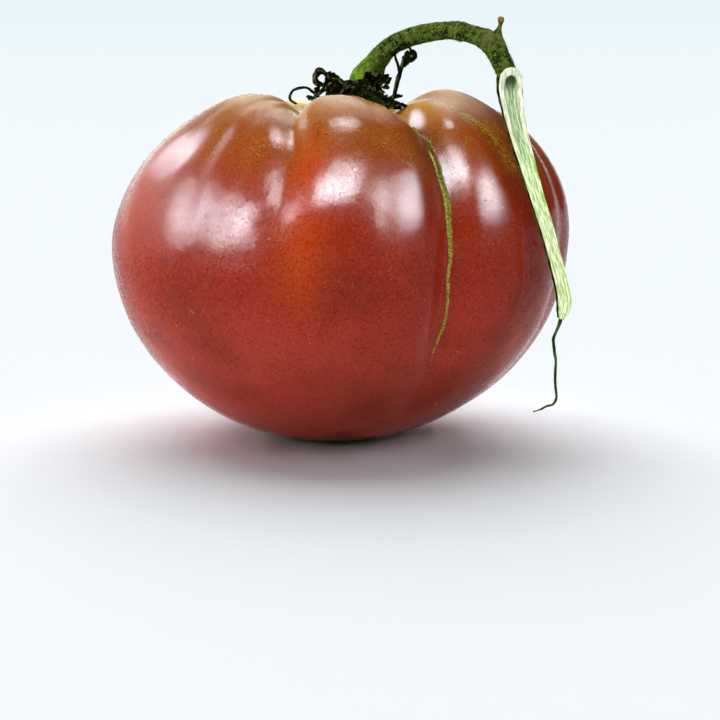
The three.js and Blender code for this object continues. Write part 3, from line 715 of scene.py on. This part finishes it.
# %% The main sepals
# spine, widths along it, way across, cup, thickness, wave, tears, seed, steps along and across
sepal_lofts = [
    ribbon([[-3.6, -3.2, 1.6], [-5, -5, 4.6], [-6.2, -6.2, 6.6], [-7.2, -6.6, 7.9], [-8.4, -6.9, 8.7],
            [-9.9, -7.2, 8.9], [-11.4, -7.7, 8.5], [-12.4, -8.3, 7.4], [-12.2, -9, 6.4], [-11, -9.6, 5.6]],
           [2.4, 1.2, 0.8, 0.7, 0.8], [-0.4, 1, 0], 0.1, 0.45, 0.1, 0.2, 3),
    ribbon([[-4.4, -0.6, 1.4], [-3.2, -0.8, 5], [-2, -1, 8.6], [-1.8, -1.2, 10.8], [-2.9, -1.6, 11.4],
            [-4.2, -1.8, 11.6], [-5.7, -2, 12], [-7, -2.2, 11.3], [-7.2, -2.4, 9.9], [-6, -2.6, 8.9]],
           [2.6, 2.0, 2.2, 1.8, 1.3], [0, 1, 0.2], 0.4, 0.5, 0.3, 0.35, 5),
    ribbon([[-4.7, 0.8, 1.4], [-5.6, 0.6, 4.4], [-6.4, 0, 7], [-6.2, -0.8, 8.8], [-5, -1.4, 9.4]],
           [2.6, 2.2, 2.4, 1], [0.1, 1, 0], 0.3, 0.5, 0.4, 0.35, 7),
    ribbon([[2.6, -4.7, 1.4], [3, -6.4, 4.6], [4, -7.4, 8], [5.6, -8, 10.4], [7.6, -8.4, 11.4]],
           [3.6, 4.6, 5.8, 5.2, 2.6], [1, 0.3, 0.1], 0.6, 0.55, 0.6, 0.3, 11, 90, 16),
    ribbon([[3.9, -4, 1.5], [5.6, -7, 4], [7.4, -10.4, 5], [9.2, -13.4, 5], [11.8, -15.2, 5]],
           [3, 3.2, 2.6, 2, 1.0], [0.8, 1, 0], 0.3, 0.5, 0.35, 0.35, 13),
    ribbon([[5, -2.4, 1.5], [8, -3.8, 4.2], [10.2, -5, 6.6], [10.9, -6.4, 9.6], [11.7, -7.6, 12.4],
            [12.3, -8.3, 14.2], [13, -8.9, 15.6], [14.5, -9.1, 15.9]],
           [2, 1.4, 1.1, 1.0, 1.1, 1.3, 1.0], [0.6, 0.9, 0], 0, 0.9, 0.1, 0.08, 17),
    ribbon([[11.6, -7.5, 12.3], [11.1, -8.6, 14.2], [10.6, -9.6, 15.6], [10.5, -10.8, 16.8],
            [11, -11.8, 17.8], [12.4, -12.3, 18.5], [13.4, -12.3, 18.1], [14, -11.7, 17.1]],
           [0.7, 0.5, 0.6, 0.5], [1, 0, 0], 0, 0.45, 0.05, 0.1, 19),
    ribbon([[3.7, 3.8, 1.4], [6.4, 6.4, 4], [9.4, 9, 5.6], [12.4, 11.2, 6]],
           [3, 3.4, 2.4, 0.8], [-1, 1, 0], 0.3, 0.5, 0.3, 0.3, 23),
    ribbon([[-2.8, 4.5, 1.4], [-5, 7.2, 3.6], [-7.2, 10, 5.2], [-9, 12.6, 6]],
           [3, 3.2, 2.2, 0.8], [1, 0.8, 0], 0.3, 0.5, 0.3, 0.3, 29),
    ribbon([[0.6, 5, 1.4], [1, 7.4, 3.2], [1.6, 9.6, 6], [1.4, 9.8, 7.8], [0.8, 8.8, 8.2]],
           [3, 3, 2.2, 1.4, 0.8], [1, 0, 0], 0.3, 0.5, 0.3, 0.3, 31),
]
print("main sepals:", len(sepal_lofts), "ribbons")

# %% [markdown]
# The clump on the left is one withered leaf that split into curls as it dried. A broad lobe stands
# beside the stem, and narrow strips loop away from it and back down to the disc.

# %% The curls of the left clump
sepal_lofts += [
    ribbon([[-4.0, -3.6, 1.4], [-2.4, -4, 4.4], [-1.9, -3.4, 6.7], [-2.3, -3, 8.2], [-2.8, -2.6, 9.5],
            [-3.5, -2.4, 10.8], [-4.4, -2.2, 11.9]],
           [1.6, 1.8, 2.6, 3.6, 4.0, 3.2, 1.6], [1, 0, 0.3], 0.5, 0.5, 0.55, 0.3, 37, 90, 16),
    ribbon([[-4.1, -3, 9.1], [-5.5, -3.1, 9.4], [-6.6, -3.2, 10.1], [-7.1, -3.2, 11.2], [-6.6, -3.1, 12.2],
            [-5.5, -2.9, 12.4], [-4.6, -2.8, 11.7], [-3.9, -2.7, 10.6]],
           [1.4, 1.6, 1.5, 1.6, 1.8, 1.6, 1.4, 1.2], [0, 1, 0.2], 0.2, 0.8, 0.15, 0.3, 41),
    ribbon([[-3.3, -3.4, 9.8], [-4.8, -3.8, 8.7], [-6.1, -4, 7.6], [-7, -4, 6.5], [-6.2, -4.2, 4],
            [-4.2, -3.6, 1.6]],
           [1.4, 1.6, 1.3, 1.2, 1.2, 1.4], [0.4, 1, 0], 0.2, 0.8, 0.1, 0.2, 43),
    ribbon([[-3.5, -3.8, 8.9], [-4.1, -4, 7.8], [-4.5, -4, 6.3], [-4.4, -4, 4], [-3.6, -3.8, 1.6]],
           [1, 1.1, 1, 1, 1.2], [1, 0.4, 0], 0.1, 0.7, 0.1, 0.2, 47),
    ribbon([[-2.2, -3, 10.8], [-0.8, -3.6, 9.8], [0.5, -4, 10.1], [1.5, -4.2, 9.4], [2, -4.4, 8.1],
            [2.3, -4.6, 6.3], [1.8, -4.8, 3.6], [1, -4.8, 1.5]],
           [1.2, 1, 1.3, 1.2, 1.1, 1, 1, 1.2], [0.2, 1, 0.4], 0.1, 0.8, 0.15, 0.2, 53),
    ribbon([[0.7, -3.8, 9.8], [0.2, -3.8, 8.7], [-0.5, -3.6, 7.6], [-0.8, -3.8, 6.2], [-0.8, -4.4, 3.6],
            [-0.6, -4.8, 1.5]],
           [1.2, 2, 2.2, 1.8, 1.4, 1.2], [1, 0, 0.2], 0.3, 0.5, 0.35, 0.3, 59),
    ribbon([[-3.5, -4.2, 8.1], [-2.1, -4.6, 7.2], [-0.8, -4.6, 8.2], [0.5, -4.4, 9.2], [1.6, -4.3, 9.3]],
           [0.9, 1, 1, 1, 0.8], [0, 1, 0.3], 0.1, 0.7, 0.1, 0.2, 61),
]
print("with the clump:", len(sepal_lofts), "ribbons")

# %% [markdown]
# Two small folds curl off the broad sepal, a third lies across its foot towards the seam, and a
# thick club ends the upright sepal. Then all the ribbons are joined into one piece.

# %% The folds, the club and the whole calyx
sepal_lofts += [
    ribbon([[5.5, -8, 8.9], [6.8, -8.8, 10.3], [8.1, -9.2, 10.9], [8.8, -9.4, 9.9], [7.9, -9.2, 8.9]],
           [1.6, 2.4, 2.6, 2.2, 1.0], [0.4, 0.5, 0.8], 0.3, 0.5, 0.4, 0.35, 67),
    ribbon([[4.9, -8, 8], [6.4, -8.8, 8.5], [7.3, -9, 7.9], [6.6, -8.8, 7]],
           [2.2, 2.6, 2, 0.8], [0.2, 0.3, 1], 0.3, 0.5, 0.4, 0.35, 71),
    ribbon([[3.1, -8.2, 8.7], [5.1, -9.4, 7.7], [7, -10.6, 6.7], [9, -11.8, 5.9], [10.7, -12.8, 5.7],
            [12.2, -13.4, 5.4], [13.5, -13.8, 5.2]],
           [1.8, 3.2, 3.2, 2.6, 1.6, 0.9, 0.4], [0.3, 0.2, 1], 0.5, 0.5, 0.4, 0.35, 73, 100, 16),
    ribbon([[12.4, -7.4, 13.7], [13, -7.8, 14.8], [13.6, -8.2, 15.7], [14.5, -8.6, 16.1], [15.2, -8.8, 16.2]],
           [1.2, 2.0, 2.6, 2.4, 1.6], [-0.5, 0, 1], 0.2, 1.5, 0.2, 0.2, 79),
]
dried_sepals = join_lofts("dried_sepals", sepal_lofts)
dried_sepals.data.materials.append(dry.material)
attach(dried_sepals, "root")
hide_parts("calyx")
print("sepals:", len(sepal_lofts), "ribbons,", len(dried_sepals.data.polygons), "faces")

# %% [markdown]
# The sepals grow from a small corky disc, which beds on the floor of the cavity. Its outline is a
# row of radii and heights turned round the stem, with a slight wave so that it isn't machined.

# %% The disc of the calyx
disc_profile = [(0.4, 0.45), (3.0, 0.5), (5.4, 0.75), (5.8, 1.2),
                (5.5, 1.9), (4.2, 2.1), (2.0, 2.0), (0.4, 2.0)]
turn = np.linspace(0, 2 * np.pi, 64, endpoint=False)
bumps = 1 + 0.05 * np.sin(turn * 9)
disc_rings = []
for radius, height in disc_profile:
    round_the_disc = [radius * bumps * np.cos(turn), radius * bumps * np.sin(turn)]
    disc_rings.append(np.stack([*round_the_disc, height + 0.12 * np.sin(turn * 5)], -1))
disc_rings = np.array(disc_rings)
calyx_disc = join_lofts("calyx_disc", [(disc_rings, np.zeros(disc_rings.shape[:2]))])
calyx_disc.data.materials.append(dry.material)
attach(calyx_disc, "root")
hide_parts("calyx")
print("disc:", len(calyx_disc.data.polygons), "faces")

# %% [markdown]
# ## The stem
# The peduncle swells where it meets the fruit, arches over to the right, carries a pale joint ring
# where it would snap, and ends in a knuckle with the stub of a bud. A tube round a curve would be
# perfectly smooth, so one helper makes a loft with shallow ribs and bumps instead.

# %% A round stalk
def stalk(stations, steps, around, rib=0.0, bump=0.0, seed=1):
    """A round stalk through (place, radius) stations. Gives its rings, and how far along each is."""
    shares = np.linspace(0, 1, steps)
    centre, way = spline([p for p, _ in stations], shares)
    side, out = carried_frames(way)
    radius = along([r for _, r in stations], shares)
    turn = np.linspace(0, 2 * np.pi, around, endpoint=False)
    round_about = side[:, None, :] * np.cos(turn)[None, :, None]
    round_about = round_about + out[:, None, :] * np.sin(turn)[None, :, None]
    rings = centre[:, None, :] + round_about * radius[:, None, None]
    warts = waves(rings, 1.4, seed) + 0.5 * waves(rings, 0.6, seed + 3)
    swell = rib * np.cos(turn * 5)[None, :] + bump * warts
    return rings + round_about * swell[..., None], np.repeat(shares[:, None], around, 1)


# %% [markdown]
# The stations are places along the stem's centre, with a radius at each. The third to the fifth
# are the swelling, the eleventh is the joint ring, and the fourteenth is the knuckle. Painted light
# brightens the swelling on its left side, and the stem is corky at the ring, at the knuckle and at
# the torn end.

# %% The stem
stem_stations = [
    ([2.0, 0.2, 3.1], 2.8), ([2.1, 0.2, 4.0], 2.9), ([3.2, 0.1, 7.0], 3.4), ([4.6, -0.7, 10.8], 3.7),
    ([6.3, -2.5, 14.0], 2.5), ([9.0, -5.0, 17.4], 2.1), ([12.6, -8.5, 19.5], 2.05),
    ([16.5, -12.5, 20.8], 2.0), ([21.0, -16.5, 21.6], 1.9), ([23.0, -18.0, 21.65], 1.9),
    ([24.3, -19.0, 21.5], 2.15), ([25.7, -20.1, 21.2], 1.9), ([28.1, -22.0, 20.5], 2.0),
    ([30.9, -24.5, 19.0], 2.6), ([32.3, -26.0, 16.4], 2.2), ([33.3, -27.0, 14.4], 2.15),
    ([33.9, -27.5, 12.9], 2.1),
]
stem_around = 72
stem_rings, stem_run = stalk(stem_stations, 420, stem_around, 0.05, 0.11, 2)
spot = stem_run * (len(stem_stations) - 1)
# Painted light: the swelling is brighter on its left side.
bright = smooth(spot, 2.0, 3.0) * (1 - smooth(spot, 3.6, 5.0))
to_the_left = along([p[0] for p, _ in stem_stations], stem_run) - stem_rings[..., 0]
bright = bright * smooth(to_the_left, -1.5, 2.0)
corky = np.exp(-((spot - 10.0) / 0.16) ** 2) + 0.55 * np.exp(-((spot - 12.9) / 0.5) ** 2)
corky = np.clip(corky + smooth(spot, 15.6, 16.0), 0, 1)
stem_memory = {"bright": bright * 0.85, "corky": corky * 0.8}
green_stem = make_loft("green_stem", stem_rings, stem_memory, scar)
stub_stations = [
    ([31.2, -24.5, 18.4], 2.1), ([31.6, -24.5, 20.2], 1.8), ([32.0, -24.5, 21.3], 1.0),
    ([32.3, -24.5, 22.3], 0.5), ([32.5, -24.5, 23.2], 0.42), ([32.6, -24.5, 23.9], 0.68),
    ([32.65, -24.5, 24.4], 0.72), ([32.7, -24.5, 24.8], 0.4),
]
stub_rings, stub_run = stalk(stub_stations, 90, 24, 0, 0.12, 6)
bud_stub = make_loft("bud_stub", stub_rings, {"tip": smooth(stub_run, 0.62, 0.8)}, scar)
for piece in (green_stem, bud_stub):
    piece.data.materials.append(green.material)
    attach(piece, "root")
    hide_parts("stem")
print("stem:", len(green_stem.data.polygons), "faces")

# %% [markdown]
# ## Down on the stem
# Tomato stems are covered in short glassy hairs that catch the light along the outline. A particle
# system would be the quick way, but only meshes travel well, so each hair is a tiny closed spike
# rooted in the stem, at random from a fixed seed.

# %% Down on the stem
chance = random.Random(41)
hair_points, hair_faces = [], []
hair_thickness = 0.022
share_of_long_hairs, how_much_longer = 0.12, 1.7


def add_hair(root, way, length, thick):
    """A three-sided spike, rooted a little way into the stem."""
    way = way / np.linalg.norm(way)
    side = np.cross(way, [0.31, 0.52, 0.79])
    side /= np.linalg.norm(side)
    other = np.cross(way, side)
    first = len(hair_points)
    for k in range(3):
        angle = 2 * math.pi * k / 3
        hair_points.append(root - way * 0.05 + (side * math.cos(angle) + other * math.sin(angle)) * thick)
    hair_points.append(root + way * length)
    hair_faces.extend([(first, first + 1, first + 3), (first + 1, first + 2, first + 3),
                       (first + 2, first, first + 3), (first, first + 2, first + 1)])


centres = stem_rings.mean(1)
for _ in range(2400):
    r = chance.randrange(30, len(stem_rings) - 1)
    k = chance.randrange(stem_around)
    root = stem_rings[r, k]
    way = root - centres[r]
    way = way / np.linalg.norm(way) + np.array([chance.uniform(-0.5, 0.5) for _ in range(3)])
    length = chance.uniform(0.2, 0.55)
    if chance.random() < share_of_long_hairs:
        length = length * how_much_longer
    add_hair(root + scar, way, length, hair_thickness)
stem_down = make_piece("stem_down", hair_points, hair_faces)
glassy = Finish("glassy_down", Roughness=0.5, Specular_IOR_Level=0.0)
glassy_tint = glassy.blend(glassy.ease(glassy.grain(2.0), 0.35, 0.65),
                           rgb(0.05, 0.08, 0.01), rgb(0.20, 0.24, 0.09))
glassy.wear("Base Color", glassy_tint)
stem_down.data.materials.append(glassy.material)
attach(stem_down, "root")
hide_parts("stem")
print("down:", len(hair_faces) // 4, "hairs")

# %% [markdown]
# ## The split sliver of vine
# When the fruit was pulled off, a strip of the vine came with it. At the top it is half a tube: a
# pale woody rim that arches over a hollow of green pith. Further down it flattens into a split
# ribbon. Cutting the hollow with a second solid would leave a hard, even edge, so the wood is one
# loft with the hollow pressed into its face. Its width follows an arch at the top, where it
# overlaps the torn end of the stem.

# %% A gutter of wood
# place, width, how far it bulges back, and thickness, in millimetres
wood_stations = [
    ([34.5, -28.7, 14.4], 0.5, 0.1, 1.1), ([34.5, -28.7, 14.2], 1.9, 0.2, 1.2),
    ([34.5, -28.7, 13.8], 3.1, 0.3, 1.3), ([34.5, -28.6, 13.1], 4.2, 0.6, 1.3),
    ([34.5, -28.5, 12.0], 4.8, 1.1, 1.3), ([34.5, -28.6, 9.6], 4.9, 1.7, 1.3),
    ([34.9, -29.5, 6.6], 4.5, 1.7, 1.3), ([36.0, -31.5, 1.0], 3.8, 1.3, 1.2),
    ([37.7, -33.0, -4.9], 3.3, 0.8, 1.2), ([39.6, -33.5, -11.2], 2.9, 0.5, 1.2),
    ([41.8, -33.0, -17.9], 2.7, 0.3, 1.1), ([43.8, -32.0, -24.6], 2.6, 0.3, 1.1),
    ([45.6, -30.5, -31.2], 2.6, 0.2, 1.1), ([46.3, -30.0, -34.9], 2.8, 0.2, 1.1),
    ([46.1, -29.6, -37.2], 2.2, 0.1, 1.0), ([45.7, -29.5, -38.8], 0.9, 0.0, 0.8),
]
bark_stations = [
    ([33.8, -27.4, 14.2], 3.3, 1.7, 1.2), ([34.1, -27.6, 12.0], 4.5, 1.9, 1.2),
    ([34.5, -28.4, 9.6], 5.2, 1.8, 1.2), *wood_stations[6:],
]


arch_rim, arch_length = 1.3, 2.0


def sliver(stations, steps, wide, thick, offset, shift, wider, seed):
    """A gutter of wood. Gives its rings, and where each point is across, along and in the hollow.

    thick scales the wall; offset, shift and wider move it back, sideways and out, in millimetres."""
    shares = np.linspace(0, 1, steps)
    centre, way = spline([s[0] for s in stations], shares)
    across = np.array([1, 0, 0.2])
    side = across[None, :] - way * (way @ across)[:, None]
    side /= np.linalg.norm(side, axis=1, keepdims=True)
    out = np.cross(way, side)
    half, hollow, wall = [along([s[k] for s in stations], shares) for k in (1, 2, 3)]
    half = half / 2 + wider
    reach = np.array([0, *np.cumsum(np.linalg.norm(np.diff(centre, axis=0), axis=1))])
    rim = 0.92 - 0.32 * smooth(reach, 4, 14)
    from_arch = np.clip(1 - (reach - arch_rim) / arch_length, 0, 1.5)
    back, face, inside = [], [], []
    for s in np.linspace(-1, 1, wide):
        slot = smooth(1 - np.hypot(np.abs(s) * half / np.maximum(half - rim, 0.05), from_arch), 0.0, 0.36)
        slot = slot * (1 - 0.6 * smooth(reach, 18, 30))
        bulge = -hollow * (1 - s * s)
        edge = 0.07 * waves(centre, 1.4, seed + (s > 0)) * abs(s)
        fibre = 0.07 * waves(np.stack([reach * 0.10, np.full(steps, s * 5.0), 0 * reach], -1), 1.0, seed)
        lane = centre + side * ((half + edge) * s + shift)[:, None]
        back.append(lane + out * (bulge + offset)[:, None])
        flush_face = wall + hollow * (1 - s * s) * (1 - slot) - 0.4 * slot * (1 - smooth(reach, 2.5, 8))
        face.append(lane + out * (bulge + offset + thick * (flush_face + fibre))[:, None])
        inside.append(slot)
    rings = np.stack(back + face[::-1], 1)
    lanes = np.concatenate([np.linspace(-1, 1, wide), np.linspace(1, -1, wide)])
    values = {
        "lane": half[:, None] * lanes[None, :],
        "reach": np.repeat(reach[:, None], 2 * wide, 1),
        "inside": np.stack([0 * reach] * wide + inside[::-1], 1),
    }
    return rings, values


# %% [markdown]
# Dark bark still clings to the wood's back and left edge. It comes from the same helper, with
# thinner walls, a little wider and set back, so that it shows as a dark line along that edge.

# %% The split sliver of vine
rings, values = sliver(wood_stations, 460, 30, 1.0, 0.0, 0.10, 0.0, 3)
split_vine = make_loft("split_vine", rings, values, scar)
rings, values = sliver(bark_stations, 300, 16, 0.14, -0.30, -0.10, 0.22, 9)
vine_bark = make_loft("vine_bark", rings, None, scar)
print("sliver:", len(split_vine.data.polygons), "faces of wood,", len(vine_bark.data.polygons), "of bark")

# %% [markdown]
# Freshly split wood is pale cream at the rim, and yellow green with long fibres where it is flat.
# The pith in the hollow is greyer, and painted shade makes it darkest under the arch. The fibres are
# noise that is read along the sliver, from the distances stored on its points.

# %% Finishes for the sliver
wood = Finish("split_wood", Roughness=0.6, Specular_IOR_Level=0.0)
far_down = wood.number("reach")
scale = Vector((MM, 0.1 * MM, MM))
fibre_spot = wood.add("ShaderNodeCombineXYZ", {"X": wood.number("lane"), "Y": far_down}).outputs[0]
fibre_place = wood.add("ShaderNodeMapping", {"Vector": fibre_spot, "Scale": scale}).outputs[0]
fibres = wood.grain(0.34, 4.0, 0.65, (1, 1, 1), fibre_place)
streaks = wood.grain(1.0, 3.0, 0.6, (1, 1.5, 1), fibre_place)
tint = wood.blend(wood.ease(fibres, 0.38, 0.62), rgb(0.340, 0.470, 0.1400), rgb(0.820, 0.920, 0.5700))
green_streak = wood.times(wood.ease(streaks, 0.46, 0.60), wood.ease(wood.number("lane"), -0.5, 0.5))
green_streak = wood.times(green_streak, wood.ease(far_down, 12, 18))
green_streak = wood.times(green_streak, wood.ease(far_down, 36, 27))
tint = wood.blend(wood.times(green_streak, 0.85), tint, rgb(0.158, 0.323, 0.0150))
rim_share = wood.times(wood.ease(wood.number("inside"), 0.6, 0.1), wood.ease(far_down, 26, 12))
rim_tint = wood.blend(wood.ease(fibres, 0.40, 0.64), rgb(0.400, 0.420, 0.2700), rgb(0.820, 0.840, 0.6400))
tint = wood.blend(rim_share, tint, rim_tint)
pith = wood.blend(wood.ease(fibres, 0.40, 0.60), rgb(0.180, 0.280, 0.1000), rgb(0.560, 0.670, 0.4500))
# Painted shade: the pith is darkest under the arch.
pith = wood.blend(wood.ease(far_down, 5.5, 2.6, 0.0, 0.85), pith, rgb(0.030, 0.068, 0.0120))
tint = wood.blend(wood.times(wood.number("inside"), wood.ease(far_down, 30, 14)), tint, pith)
wood.wear("Base Color", tint)
wood.wear("Normal", wood.relief(fibres, 0.10))
split_vine.data.materials.append(wood.material)

crust = Finish("dark_bark", Roughness=0.7, Specular_IOR_Level=0.0)
crust_tint = crust.blend(crust.ease(crust.grain(0.8, 3.0, 0.5, (1, 1, 0.3)), 0.4, 0.65),
                         rgb(0.010, 0.022, 0.003), rgb(0.060, 0.105, 0.014))
crust.wear("Base Color", crust_tint)
crust.wear("Normal", crust.relief(crust.grain(0.3, 3.0, 0.5, (1, 1, 0.25)), 0.10))
vine_bark.data.materials.append(crust.material)
for piece, finish_slot in ((split_vine, "split_vine"), (vine_bark, "bark")):
    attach(piece, "root")
    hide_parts("vine_strip")
print("finishes:", wood.material.name, "and", crust.material.name)

# %% [markdown]
# ## The bark thread
# A last fibre of bark tore on past the end of the wood. It hangs down in kinks and turns in at its
# end. It starts inside the tip of the wood, so that no gap shows between them, and it wears the
# same bark.

# %% The bark thread
thread_stations = [
    ([45.85, -29.4, -37.6], 0.5), ([45.6, -29.5, -39.3], 0.40), ([44.9, -29.5, -41.3], 0.34),
    ([44.2, -29.5, -43.2], 0.30), ([44.4, -29.7, -45.6], 0.32), ([44.7, -30.0, -47.9], 0.28),
    ([44.6, -30.6, -50.4], 0.30), ([44.6, -31.0, -52.9], 0.26), ([44.8, -31.0, -55.9], 0.28),
    ([44.1, -30.8, -57.2], 0.25), ([42.9, -30.5, -57.6], 0.24), ([41.5, -30.2, -58.4], 0.20),
    ([40.0, -30.0, -58.9], 0.12),
]
thread_rings = stalk(thread_stations, 240, 12, 0, 0.07, 12)[0]
bark_thread = make_loft("hanging_bark", thread_rings, None, scar)
bark_thread.data.materials.append(crust.material)
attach(bark_thread, "root")
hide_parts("bark_thread")
print("thread:", len(bark_thread.data.polygons), "faces")

# %% [markdown]
# ## The table
# A pale table with no edge in sight gives the soft ground of the picture. It is one large sheet,
# a touch bluer far behind the fruit, and it has no gloss, so that the fruit isn't mirrored in it.

# %% The table
table_reach = 15
floor_mesh = bpy.data.meshes.new("pale_table")
corners = [(-table_reach, -table_reach, 0), (table_reach, -table_reach, 0),
           (table_reach, table_reach, 0), (-table_reach, table_reach, 0)]
floor_mesh.from_pydata(corners, [], [(0, 1, 2, 3)])
floor = bpy.data.objects.new("pale_table", floor_mesh)
bpy.context.scene.collection.objects.link(floor)
plain = Finish("plain_white", Roughness=0.9, Specular_IOR_Level=0.0)
front_to_back = plain.add("ShaderNodeSeparateXYZ", {0: plain.place}).outputs["Y"]
paper = plain.blend(plain.ease(front_to_back, 0.3, 4.0), rgb(0.84, 0.86, 0.87), rgb(0.76, 0.84, 0.845))
plain.wear("Base Color", paper)
floor_mesh.materials.append(plain.material)
print("table:", 2 * table_reach, "m across")

# %% [markdown]
# ## The room
# The picture is bright, yet the front of the fruit is deep and dark. That happens in a white room
# whose side behind the camera is dim: the fruit mirrors that dim side in its middle and the bright
# side at its rims. So the world is dim all round, and bright only low behind the fruit and a
# little to its left.

# %% The bright room
room = bpy.data.worlds.new("white_room")
bpy.context.scene.world = room
room.use_nodes = True
nodes, links = room.node_tree.nodes, room.node_tree.links
looking = nodes.new("ShaderNodeTexCoord").outputs["Generated"]
towards = nodes.new("ShaderNodeVectorMath")
towards.operation = "DOT_PRODUCT"
bright_side = (-0.25, 0.95, -0.25)
towards.inputs[1].default_value = bright_side
links.new(looking, towards.inputs[0])
fall = nodes.new("ShaderNodeMapRange")
fall.interpolation_type = "SMOOTHSTEP"
for socket, value in [("From Min", 0.62), ("From Max", 0.94), ("To Min", 0.05), ("To Max", 1.7)]:
    fall.inputs[socket].default_value = value
links.new(towards.outputs["Value"], fall.inputs["Value"])
nodes["Background"].inputs["Color"].default_value = rgb(0.93, 0.97, 1.0)
links.new(fall.outputs[0], nodes["Background"].inputs["Strength"])
print("room: bright towards", bright_side)

# %% [markdown]
# ## The windows
# Soft windows make the highlights on the shoulders. Each is an area lamp set by its direction, as
# a photographer would walk it round the table. It is a pair in fact: one lamp lights the colours
# and the other is only mirrored in the gloss, so that highlights can be strong while the flesh
# stays deep. Light linking keeps both off the table, which would burn out.

# %% A soft window
window_distance = 3.0
fruit_middle = Vector((0.0, 0.0, 0.05))
all_but_the_table = bpy.data.collections.new("lit_by_windows")
all_but_the_table.objects.link(floor)
all_but_the_table.collection_objects[0].light_linking.link_state = "EXCLUDE"


def soft_window(name, azimuth, height, wide, tall, glow, shine):
    """azimuth and height are degrees as seen from the fruit; wide and tall are metres.

    glow is how bright the lamp is that lights the colours, and shine the one in the gloss."""
    right, up = math.radians(azimuth), math.radians(height)
    way = Vector((math.sin(right) * math.cos(up), -math.cos(right) * math.cos(up), math.sin(up)))
    for part, brightness in (("glow", glow), ("shine", shine)):
        lamp = bpy.data.lights.new(name + "_" + part, "AREA")
        lamp.shape = "RECTANGLE"
        lamp.size, lamp.size_y = wide, tall
        lamp.energy = brightness * math.pi * wide * tall
        lamp.color = (0.92, 0.93, 1.0)
        made = bpy.data.objects.new(name + "_" + part, lamp)
        made.location = way * window_distance + fruit_middle
        made.rotation_euler = way.to_track_quat("Z", "Y").to_euler()
        made.visible_diffuse = part == "glow"
        made.visible_glossy = part == "shine"
        made.light_linking.receiver_collection = all_but_the_table
        bpy.context.scene.collection.objects.link(made)


# %% [markdown]
# Azimuth runs from the front towards the right. The front and right windows make the large
# highlights on the front and right lobes. The three on the left make the group on the left lobe
# and light its rim. The narrow one behind it makes the streak along the upper left, and the two
# last ones light the crest from above and behind.

# %% The windows
soft_window("front_window", -6, 49, 1.5, 1.3, 11.0, 380.0)
soft_window("right_window", 52, 27, 2.0, 1.7, 3.3, 350.0)
soft_window("left_window", -53, 20, 1.1, 1.6, 9.6, 310.0)
soft_window("far_left_window", -81, 21, 0.9, 1.5, 8.0, 340.0)
soft_window("farther_left_window", -108, 20, 1.3, 1.4, 4.8, 150.0)
soft_window("back_left_window", -134, 30, 0.30, 0.7, 16.0, 950.0)
soft_window("top_window", -160, 79, 0.7, 0.6, 7.0, 210.0)
soft_window("back_window", 178, 42, 1.6, 1.1, 8.0, 110.0)
print("windows:", len(bpy.data.lights) // 2)

# %% [markdown]
# The table gets its own light: one very wide sun from above and behind, which nothing else
# receives. It lays the soft shadow in front of the fruit and keeps the table even.

# %% The light on the table
skylight = bpy.data.lights.new("table_skylight", "SUN")
skylight.energy = 3.75
skylight.angle = math.radians(70)
skylight.color = (0.95, 0.98, 1.0)
overhead = bpy.data.objects.new("table_skylight", skylight)
overhead.rotation_euler = Vector((-0.05, 0.5, 0.87)).to_track_quat("Z", "Y").to_euler()
overhead.visible_glossy = False
bpy.context.scene.collection.objects.link(overhead)
table_only = bpy.data.collections.new("lit_by_table_skylight")
table_only.objects.link(floor)
overhead.light_linking.receiver_collection = table_only
bpy.context.scene.view_settings.view_transform = "Standard"
print("table light:", skylight.energy, "W per square metre")
